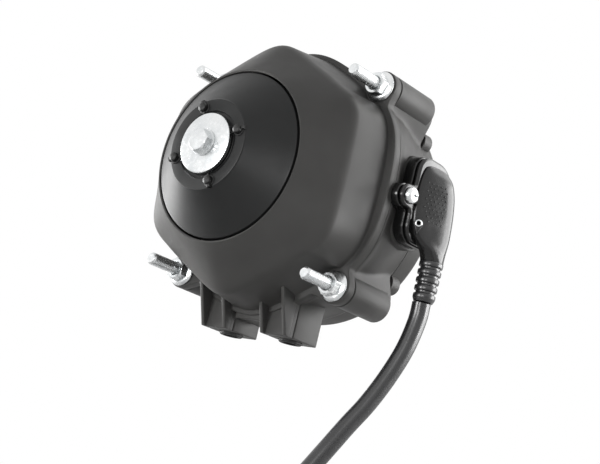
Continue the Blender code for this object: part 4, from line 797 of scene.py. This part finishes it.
# %% [markdown]
# ## Hexagon heads
# A real hexagon head is a prism whose corners are cut by a cone, which leaves six shallow arcs. Each
# direction's edge drops by how far the hexagon reaches past the round face, which gives those arcs.

# %% Bolt and flange nuts
def hexagon_rows(flat, start, end, centre, turn=0.0, hole=0.0, columns=144, dome=0.0):
    """A hexagon with chamfered corners from depth start (the front) to end, in mm."""
    angles = np.linspace(0, TAU, columns, endpoint=False)
    corner = (angles - turn) % (TAU / 6) - TAU / 12
    reach = flat / 2 / np.cos(corner)
    rows = []

    def row(radius, depth):
        rows.append(round_row(angles, radius, depth, centre))

    face = flat / 2 * 0.97
    way = 1 if end > start else -1
    if hole:
        row(hole, end)
        row(hole, start + way * 0.4)
        row(hole + 0.35, start + way * 0.02)
    else:
        row(0.02, start - way * dome)
        row(face * 0.5, start - way * dome * 0.8)
    row(face, start)
    drop = (reach - face) * math.tan(math.radians(30)) + 0.02
    row(np.minimum(reach, face + 0.15), start + way * np.minimum(drop, 0.12))
    row(reach, start + way * (drop + 0.05))
    row(reach, end)
    if not hole:
        row(0.02, end)
    return rows


def hexagon(name, *values, **more):
    rows = np.array(hexagon_rows(*values, **more))
    return skin(name, rows, ring_rows=bool(more.get("hole")), capped=not more.get("hole"))


ACROSS_FLATS = 8.0
BOLT_FLANGE = [(0.02, -44.8), (4.9, -44.8), (5.0, -44.9), (5.0, -45.6), (4.9, -45.7), (0.02, -45.7)]
bolt_head = hexagon("bolt_head", ACROSS_FLATS, -48.7, -45.5, (0, 0), 0.25, dome=0.15)
bolt = joined("bolt_skin", [bolt_head, turned("bolt_collar", BOLT_FLANGE, ZINC, steps=96)])
piece("bolt_skin", bolt, ZINC, "rotor", ["hub_bolt"])


def nut(name, x, z, turn):
    body = hexagon("nut_body", ACROSS_FLATS, -5.0, -1.1, (x, z), turn, hole=2.62)
    flange = [
        (2.7, -0.35), (5.75, -0.35), (5.93, -0.42), (5.95, -0.62), (5.8, -0.85), (5.2, -1.2),
        (4.7, -1.5), (2.7, -1.5),
    ]
    flange_mesh = turned("nut_flange", flange, ZINC, (x, z), steps=96)
    return joined(name, [body, flange_mesh])


NUT_TURNS = (0.35, 0.12, 0.52, 0.2)
for number, ((x, z), turn) in enumerate(zip(STUD_PLACES, NUT_TURNS), 1):
    name = f"nut_skin_{number}"
    piece(name, nut(name, x, z, turn), ZINC, "housing", [f"flange_nut_{number}"])

# %% [markdown]
# ## Stud threads
# The studs carry an M5 thread. A helix is a surface whose radius depends on the distance along the
# stud plus the turn round it, so a grid with ten rows to each pitch draws it. In the photograph the
# thread is hardly seen, so it is drawn shallow.

# %% Threaded studs
PITCH = 0.8
STUD_END_R = 1.7


def thread_radius(phase, crest=2.46, depth=0.17):
    wave = np.abs((phase % 1.0) * 2 - 1)
    return crest - depth * np.clip((wave - 0.12) / 0.76, 0, 1)


def stud(name, x, z, front=-18.8, back=22.0, columns=40, per_pitch=10):
    angles = np.linspace(0, TAU, columns, endpoint=False)
    depths = np.arange(front + 0.1, back, PITCH / per_pitch)
    rows = []
    for depth in depths:
        reach = thread_radius(depth / PITCH + angles / TAU)
        tip = min(depth - front, back - depth)
        reach = np.minimum(reach, STUD_END_R + 0.05 + tip * 0.9)
        rows.append(round_row(angles, reach, depth, (x, z)))
    front_end, back_end = (round_row(angles, STUD_END_R, depth, (x, z)) for depth in (front, back))
    return skin(name, [front_end, *rows, back_end], capped=True)


for number, (x, z) in enumerate(STUD_PLACES, 1):
    name = f"stud_skin_{number}"
    piece(name, stud(name, x, z), ZINC, "housing", [f"stud_{number}"])

# %% [markdown]
# ## The plug
# The plug is a soft wedge. Seen down its length it is a D: the outer face slopes, the far edge is
# round and the near edge is tighter. Its left and right edges and its slope all change down its
# length, so it is lofted through stations, and a smooth curve runs through the stations.

# %% Loft the plug body
# height, near edge, far edge, X of the near edge's face, X of the far edge's face, X of the back
STATIONS = (
    (13.6, 16.4, 19.4, 58.2, 58.7, 57.0), (13.2, 14.6, 22.2, 58.4, 60.2, 56.8),
    (12.2, 13.2, 24.4, 58.6, 61.6, 56.6), (9.6, 11.9, 26.6, 58.8, 63.4, 56.5),
    (5.0, 11.1, 28.2, 59.0, 64.6, 56.4), (0.0, 10.8, 29.1, 59.1, 65.2, 56.3),
    (-5.0, 11.0, 29.6, 59.2, 65.5, 56.3), (-10.0, 11.9, 29.8, 59.5, 65.6, 56.4),
    (-13.4, 13.4, 29.8, 60.3, 65.5, 56.5), (-16.0, 15.9, 29.6, 61.8, 65.3, 56.6),
    (-18.0, 18.6, 29.4, 63.4, 65.1, 56.5), (-20.9, 20.3, 29.3, 64.9, 64.9, 56.2),
)


SOCKET_SPAN, PLUG_PLATE_SPAN = (50.5, 54.9), (55.2, 57.3)
PLUG_SCREW_SEAT, COVER_SCREW_SEAT = 57.5, 36.2
LOBE_MIDDLE, LOBE_R = (7.0, -0.7), 4.6


def catmull(points, t):
    """A place on a smooth curve through the points, where t runs from 0 to 1."""
    points = np.asarray(points, float)
    place = t * (len(points) - 1)
    k = min(int(place), len(points) - 2)
    u = place - k
    p0, p1, p2, p3 = (points[min(max(k + d, 0), len(points) - 1)] for d in (-1, 0, 1, 2))
    square = (2 * p0 - 5 * p1 + 4 * p2 - p3) * u**2
    cube = (3 * p1 - p0 - 3 * p2 + p3) * u**3
    return 0.5 * (2 * p1 + (p2 - p0) * u + square + cube)


def plug_body(columns=120, steps=80):
    angles = np.linspace(0, TAU, columns, endpoint=False)
    c, s = np.cos(angles), np.sin(angles)
    rows = []
    for t in np.linspace(0, 1, steps):
        z, near, far, face_near, face_far, back = catmull(STATIONS, t)
        neck = min(max((-z - 12) / 8.5, 0), 1)
        power = np.where(s > 0, 2.5, 3.6) * (1 - neck) + 2.0 * neck
        across = np.sign(s) * np.abs(s) ** (2 / power)
        y = (near + far) / 2 + (far - near) / 2 * across
        face = face_near + (face_far - face_near) * (across + 1) / 2
        x = (face + back) / 2 + (face - back) / 2 * np.sign(c) * np.abs(c) ** (2 / power)
        rows.append(np.stack([x, y, np.full(columns, z)], 1) * MM)
    return skin("plug_body", rows, capped=True)


def lobed_outline(grow=0.0, steps=10):
    """The inlet's plate as (depth, height): round corners, and a screw lobe in front."""
    made = []
    lobe_y, lobe_z = LOBE_MIDDLE
    lobe_r = LOBE_R + grow
    for quarter, (sy, sz) in enumerate(((1, 1), (-1, 1), (-1, -1), (1, -1))):
        corner = 11.5 if sy > 0 else 6.5
        y, z = 21.4 + sy * (11.8 - corner), sz * (16.7 - corner)
        for k in range(steps + 1):
            turn = math.pi / 2 * (quarter + k / steps)
            made.append((y + (corner + grow) * math.cos(turn), z + (corner + grow) * math.sin(turn)))
        if quarter == 1:
            made.append((9.6 - grow, 4.9 + grow))
            made.append((9.0 - grow, 4.2 + grow))
            for k in range(2 * steps + 1):
                turn = math.pi / 2 + math.pi * k / (2 * steps)
                made.append((lobe_y + lobe_r * math.cos(turn), lobe_z + lobe_r * math.sin(turn)))
            made.append((9.0 - grow, -5.6 - grow))
            made.append((9.6 - grow, -6.3 - grow))
    return made


plug_flange = slab("plug_flange", lobed_outline(-0.2), *PLUG_PLATE_SPAN, "x", 0.95)
shape_of_body = plug_body()
print("plug body", len(shape_of_body.polygons), "faces")

# %% [markdown]
# ### Grip pips
# The outer face has a field of small pips for the fingers. They repeat on a rule, so Geometry Nodes
# lays a grid of points, drops each one on the face with a ray, and puts a small ball there.

# %% Pips by a ray
def pip_tree():
    tree, start = start_tree("grip_pips", ("Body", "NodeSocketObject"), ("Radius", "NodeSocketFloat", 0.001))
    body = tree.nodes.new("GeometryNodeObjectInfo")
    ray = tree.nodes.new("GeometryNodeRaycast")
    ray.inputs["Ray Direction"].default_value = (-1, 0, 0)
    ray.inputs["Ray Length"].default_value = 0.05
    drop = tree.nodes.new("GeometryNodeSetPosition")
    ball = tree.nodes.new("GeometryNodeMeshIcoSphere")
    ball.inputs["Subdivisions"].default_value = 2
    place = tree.nodes.new("GeometryNodeInstanceOnPoints")
    link = tree.links.new
    link(start.outputs["Body"], body.inputs["Object"])
    link(body.outputs["Geometry"], ray.inputs["Target Geometry"])
    link(start.outputs["Geometry"], drop.inputs["Geometry"])
    link(ray.outputs["Hit Position"], drop.inputs["Position"])
    link(start.outputs["Radius"], ball.inputs["Radius"])
    link(drop.outputs["Geometry"], place.inputs["Points"])
    link(ray.outputs["Is Hit"], place.inputs["Selection"])
    link(ball.outputs["Mesh"], place.inputs["Instance"])
    return end_tree(tree, start, place.outputs["Instances"])


PIP_ROWS, PIP_COLUMNS = 10, 5
PIP_TOP, PIP_NEAR = 6.6, 13.6
PIP_R = 0.34


def pips(pitch_y=1.9, pitch_z=1.55):
    places = []
    for row in range(PIP_ROWS):
        z = PIP_TOP - row * pitch_z
        for column in range(PIP_COLUMNS):
            y = PIP_NEAR + column * pitch_y + (pitch_y / 2 if row % 2 else 0)
            if not (row > 7 and column == 0):
                places.append((0.08, y * MM, z * MM))
    holder = bpy.data.objects.new("pip_points", mesh_of("pip_points", places, []))
    body = bpy.data.objects.new("pip_body", shape_of_body)
    for made in (holder, body):
        bpy.context.scene.collection.objects.link(made)
    step = holder.modifiers.new("pips", "NODES")
    step.node_group = pip_tree()
    set_input(step, "Body", body)
    set_input(step, "Radius", PIP_R * MM)
    set_input(step, "Finish", INLET_BLACK)
    mesh = made_mesh(holder, "pips")
    bpy.data.objects.remove(body)
    print(len(places), "pips")
    return mesh


# %% [markdown]
# ### The eye on the plug's flank
# Low on the near flank stands a small eye: a drop with a hole, and a bright eyelet round the hole.

# %% Eye, plug and socket
EYE_PLACE = Matrix.Translation(Vector((59.7, 12.6, -9.6)) * MM) @ Matrix.Rotation(math.radians(38), 4, "Z")


def round_outline(radius, steps=24):
    return [(radius * math.cos(TAU * k / steps), radius * math.sin(TAU * k / steps)) for k in range(steps)]


def eye(reach=1.7, tail=4.2, steps=28):
    """A drop-shaped ring that faces out from the corner between the plug's face and its flank."""
    outer = []
    spread = math.acos(reach / tail)
    for k in range(steps + 1):
        turn = -math.pi / 2 + spread + (TAU - 2 * spread) * k / steps
        outer.append((reach * math.cos(turn), reach * math.sin(turn)))
    outer.append((0, -tail))
    body = slab("eye", outer, -1.2, 2.5, "y", 0.3)
    body = carved(body, slab("eye_hole", round_outline(0.8), -2.0, 1.2, "y", 0))
    body.transform(EYE_PLACE)
    return body


def eye_ring():
    """A small bright eyelet round the hole in the drop."""
    profile = [(1.08 + u, v - 1.25) for u, v in round_outline(0.3, 12)]
    body = turned("eye_ring", profile, ZINC, steps=48)
    body.transform(EYE_PLACE)
    return body


piece("eye_ring", eye_ring(), ZINC, "housing")
plug_meshes = [shape_of_body, plug_flange, pips(), eye()]
piece("plug_skin", joined("plug_skin", plug_meshes), INLET_BLACK, "housing", ["power_plug"])
socket_mesh = slab("socket", lobed_outline(), *SOCKET_SPAN, "x", 0.35)
piece("socket_skin", socket_mesh, INLET_BLACK, "housing", ["inlet_socket"])

# %% [markdown]
# ### The plug's screw
# A pan head is a low dome over a straight edge, and its cross recess is cut with two thin boxes. The
# same head serves the four screws of the rear cover.

# %% Pan head screw
def frame_middle(name):
    """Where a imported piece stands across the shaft's line, in mm."""
    low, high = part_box(name)
    return ((low[0] + high[0]) / 2 / MM, (low[2] + high[2]) / 2 / MM)


def pan_head(name, radius, height, seat, centre, facing, cross=0.42):
    dome = [(0.02, seat), (radius - 0.15, seat), (radius, seat + 0.15), (radius, seat + height * 0.3)]
    for k in range(1, 9):
        turn = math.pi / 2 * k / 8
        dome.append((max(radius * math.cos(turn) ** 0.6, 0.02), seat + height * (0.3 + 0.7 * math.sin(turn))))
    head = turned(name, dome, ZINC, centre, facing, 64)
    arm, wide = radius * cross * 1.2, radius * 0.13
    for a, b in ((arm, wide), (wide, arm)):
        low = (seat + height * 0.45, centre[0] - a, centre[1] - b)
        high = (seat + height * 2, centre[0] + a, centre[1] + b)
        if facing == "front":
            low, high = (low[1], low[0], low[2]), (high[1], high[0], high[2])
        head = carved(head, block("recess", low, high, 0.05, 1))
    return head


plug_screw = pan_head("plug_screw_skin", 3.2, 2.3, PLUG_SCREW_SEAT, LOBE_MIDDLE, "right")
piece("plug_screw_skin", plug_screw, ZINC, "housing", ["plug_screw"])
for number in range(1, 5):
    name, packed = f"cover_screw_skin_{number}", f"cover_screw_{number}"
    head = pan_head(name, 2.9, 1.9, COVER_SCREW_SEAT, frame_middle(packed), "front")
    piece(name, head, ZINC, "housing", [packed])

# %% [markdown]
# ## Relief and lead
# The relief is five soft rings on a thin sleeve, turned about an upright line. The lead leaves it,
# hangs down out of the picture, and is wound in a coil of three turns that lies below the motor.
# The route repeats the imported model's own points, in metres, and the coil steps down once each turn.

# %% Relief
RELIEF_PLACE = (60.55, 24.8)
RELIEF_RINGS = 5


def relief_profile():
    made = [(0.5, -20.6), (4.0, -20.6)]
    pitch = 15.2 / RELIEF_RINGS
    for k in range(RELIEF_RINGS):
        top = -20.9 - k * pitch
        reach = 4.55 - 0.35 * (k + 0.5) / RELIEF_RINGS
        made += [(reach - 0.12, top - 0.12), (reach, top - 0.35)]
        made += [(reach, top - pitch * 0.5), (reach - 0.12, top - pitch * 0.6)]
        if k < RELIEF_RINGS - 1:
            groove = ((0.7, 0.68), (0.78, 0.8), (0.7, 0.94))
            made += [(reach - deep, top - pitch * share) for deep, share in groove]
    made += [(3.6, -36.05), (0.5, -36.1)]
    return made


relief = turned("relief_skin", relief_profile(), LEAD_SHEATH, RELIEF_PLACE, "up", 64)
piece("relief_skin", relief, LEAD_SHEATH, "housing", ["strain_relief"])

# %% Lead
LEAD_ROUTE = (
    (0.0602, 0.0246, -0.0364), (0.0598, 0.0249, -0.0431), (0.0582, 0.0235, -0.0544),
    (0.0551, 0.0209, -0.0661), (0.0515, 0.0175, -0.0770), (0.0477, 0.0139, -0.0862),
    (0.0440, 0.0101, -0.0960), (0.0401, 0.0063, -0.1060), (0.0363, 0.0026, -0.1156),
    (0.0316, -0.0019, -0.1235), (0.0256, -0.0078, -0.1283),
)
LEAD_R = 0.0035
COIL_MIDDLE = (-0.0082, 0.0131)
COIL_R = 0.0386
INNER_R = 0.0304
COIL_BASE = -0.1551
COIL_START = -45.7
TURN = 0.0072


def eased(value, start, end):
    share = min(max((value - start) / (end - start), 0), 1)
    return share * share * (3 - 2 * share)


def coil_place(travel):
    """A point of the coil after a travel in degrees, clockwise from above."""
    height = LEAD_R + TURN * (3 - sum(eased(travel, 26 + 360 * k, 118 + 360 * k) for k in range(3)))
    radius = COIL_R + (INNER_R - COIL_R) * eased(travel, 1000, 1110)
    turn = math.radians(COIL_START - travel)
    x, y = COIL_MIDDLE
    return (x + radius * math.cos(turn), y + radius * math.sin(turn), COIL_BASE + height)


def smooth_through(points, each):
    count = (len(points) - 1) * each
    return [tuple(catmull(points, k / count)) for k in range(count + 1)]


COIL_END = 1140
coil_points = [coil_place(4 * k) for k in range(COIL_END // 4 + 1)]
lead_path = smooth_through([*LEAD_ROUTE, *coil_points[::4][:2]], 8)[:-8] + coil_points


def tube_curve(name, path, radius, finish, sides=6):
    made = polyline(name, path)
    made.data.bevel_depth = radius
    made.data.bevel_resolution = sides
    made.data.use_fill_caps = True
    made.data.materials.append(finish)
    return made


lead = tube_curve("lead_cord", lead_path, LEAD_R, LEAD_SHEATH)
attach(lead, "housing")
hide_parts("power_lead", "lead_coil", "lead_tail")

# %% [markdown]
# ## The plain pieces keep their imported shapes
# The pieces inside the motor, the seal, the bushes under the feet, the coil's ties and the lead's bare
# end stay as packed. Each gets the material of its slot.

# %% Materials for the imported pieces
CORE_FINISH = {
    "core_brown": moulded(
        "core_brown_skin", (0.09, 0.035, 0.015), (0.12, 0.05, 0.02), (0.3, 0.4), 1.0, 0.005
    ),
    "core_blue": moulded("core_blue_skin", (0.01, 0.06, 0.30), (0.02, 0.08, 0.38), (0.3, 0.4), 1.0, 0.005),
    "core_green": moulded("core_green_skin", (0.03, 0.22, 0.05), (0.05, 0.30, 0.07), (0.3, 0.4), 1.0, 0.005),
}
BOARD = moulded("board_mask", (0.01, 0.09, 0.03), (0.015, 0.12, 0.04), (0.25, 0.35), 0.6, 0.01)
COMPONENT = moulded("component_body", (0.06, 0.06, 0.065), (0.09, 0.09, 0.095), (0.35, 0.5), 0.5, 0.01)
FERRITE = moulded("ferrite_body", (0.02, 0.02, 0.022), (0.03, 0.03, 0.033), (0.5, 0.65), 0.4, 0.02)
BY_SLOT = {
    "housing_plastic": CHARCOAL, "rotor_plastic": ROTOR_CHARCOAL, "inlet_plastic": INLET_BLACK,
    "lead_sheath": LEAD_SHEATH, "seal_rubber": BLACK_RUBBER, "bright_zinc": ZINC, "ground_steel": STEEL,
    "electrical_steel": LAMINATION, "cast_metal": CASTING, "ferrite": FERRITE, "enamelled_copper": COPPER,
    "tinned_brass": BRASS, "board_green": BOARD, "component_grey": COMPONENT, **CORE_FINISH,
}
slot_of = {item["node"]: item["material_slot"] for item in frame["record"]["subparts"]}


def node_object(name):
    found = frame["nodes"][name]
    return found if hasattr(found, "material_slots") else bpy.data.objects[name]


for name, slot_name in slot_of.items():
    for carried in node_object(name).material_slots:
        carried.material = BY_SLOT[slot_name]
print("finished", len(slot_of), "packed pieces")

node_object("coil_tie_1")
node_object("coil_tie_2")
node_object("end_sleeve")
node_object("core_brown")
node_object("core_blue")
node_object("core_green")

# %% [markdown]
# ## Floor, lamps and background
# The picture is a cut-out on white. The world is fully white only for the camera and for mirror and
# glass rays, and adds a faint even light, so the lamps do nearly all the lighting.

# %% Floor
LOWEST_Z, FLOOR_GAP = -0.1562, 0.0002
floor_mesh = mesh_of("floor", [(-3, -3, 0), (3, -3, 0), (3, 3, 0), (-3, 3, 0)], [(0, 1, 2, 3)])
FLOOR_PAINT = moulded("floor_paint", (0.80, 0.80, 0.80), (0.84, 0.84, 0.84), (0.7, 0.8), 3.0, 0.01)
floor_mesh.materials.append(FLOOR_PAINT)
floor = bpy.data.objects.new("floor", floor_mesh)
bpy.context.scene.collection.objects.link(floor)
floor.location.z = min(cad_box[0][2], LOWEST_Z) - FLOOR_GAP


# %% Lamps
def lamp(name, place, aim, power, size):
    light = bpy.data.lights.new(name, "AREA")
    light.energy = power
    light.size = size
    made = bpy.data.objects.new(name, light)
    bpy.context.scene.collection.objects.link(made)
    made.location = place
    made.rotation_euler = (Vector(aim) - Vector(place)).to_track_quat("-Z", "Y").to_euler()


lamp("side_lamp", (1.126, 1.251, 0.237), (0, 0.02, 0), 29, 1.2)
lamp("high_side_lamp", (1.031, 1.145, 0.718), (0, 0.02, 0), 4.4, 1.2)
lamp("high_back_lamp", (0.689, 0.985, 1.202), (0, 0.02, 0), 12, 1.2)
lamp("left_lamp", (-0.985, -0.174, -0.02), (0, 0, -0.03), 13, 0.26)
lamp("low_front_lamp", (-0.259, -0.966, -0.02), (0, 0, -0.03), 3.9, 0.26)
lamp("low_right_lamp", (0.342, -0.94, -0.02), (0, 0, -0.03), 2.2, 0.26)
lamp("right_strip_lamp", (1.51, 0.77, 0.1), (0, 0, -0.03), 7, 0.4)


# %% World
FAINT_FILL = 0.04


def white_world():
    world = bpy.data.worlds.new("white_room")
    bpy.context.scene.world = world
    world.use_nodes = True
    tree = world.node_tree
    back = tree.nodes["Background"]
    rays = tree.nodes.new("ShaderNodeLightPath")
    seen = rays.outputs["Is Camera Ray"]
    for kind in ("Is Glossy Ray", "Is Transmission Ray"):
        either = tree.nodes.new("ShaderNodeMath")
        either.operation = "MAXIMUM"
        tree.links.new(seen, either.inputs[0])
        tree.links.new(rays.outputs[kind], either.inputs[1])
        seen = either.outputs["Value"]
    level = tree.nodes.new("ShaderNodeMapRange")
    level.inputs["To Min"].default_value = FAINT_FILL
    level.inputs["To Max"].default_value = 1.0
    tree.links.new(seen, level.inputs["Value"])
    tree.links.new(level.outputs["Result"], back.inputs["Strength"])
    back.inputs["Color"].default_value = (1, 1, 1, 1)


white_world()
view = bpy.context.scene.view_settings
view.view_transform = "Standard"
view.look = "None"
print("world", bpy.context.scene.world.name)
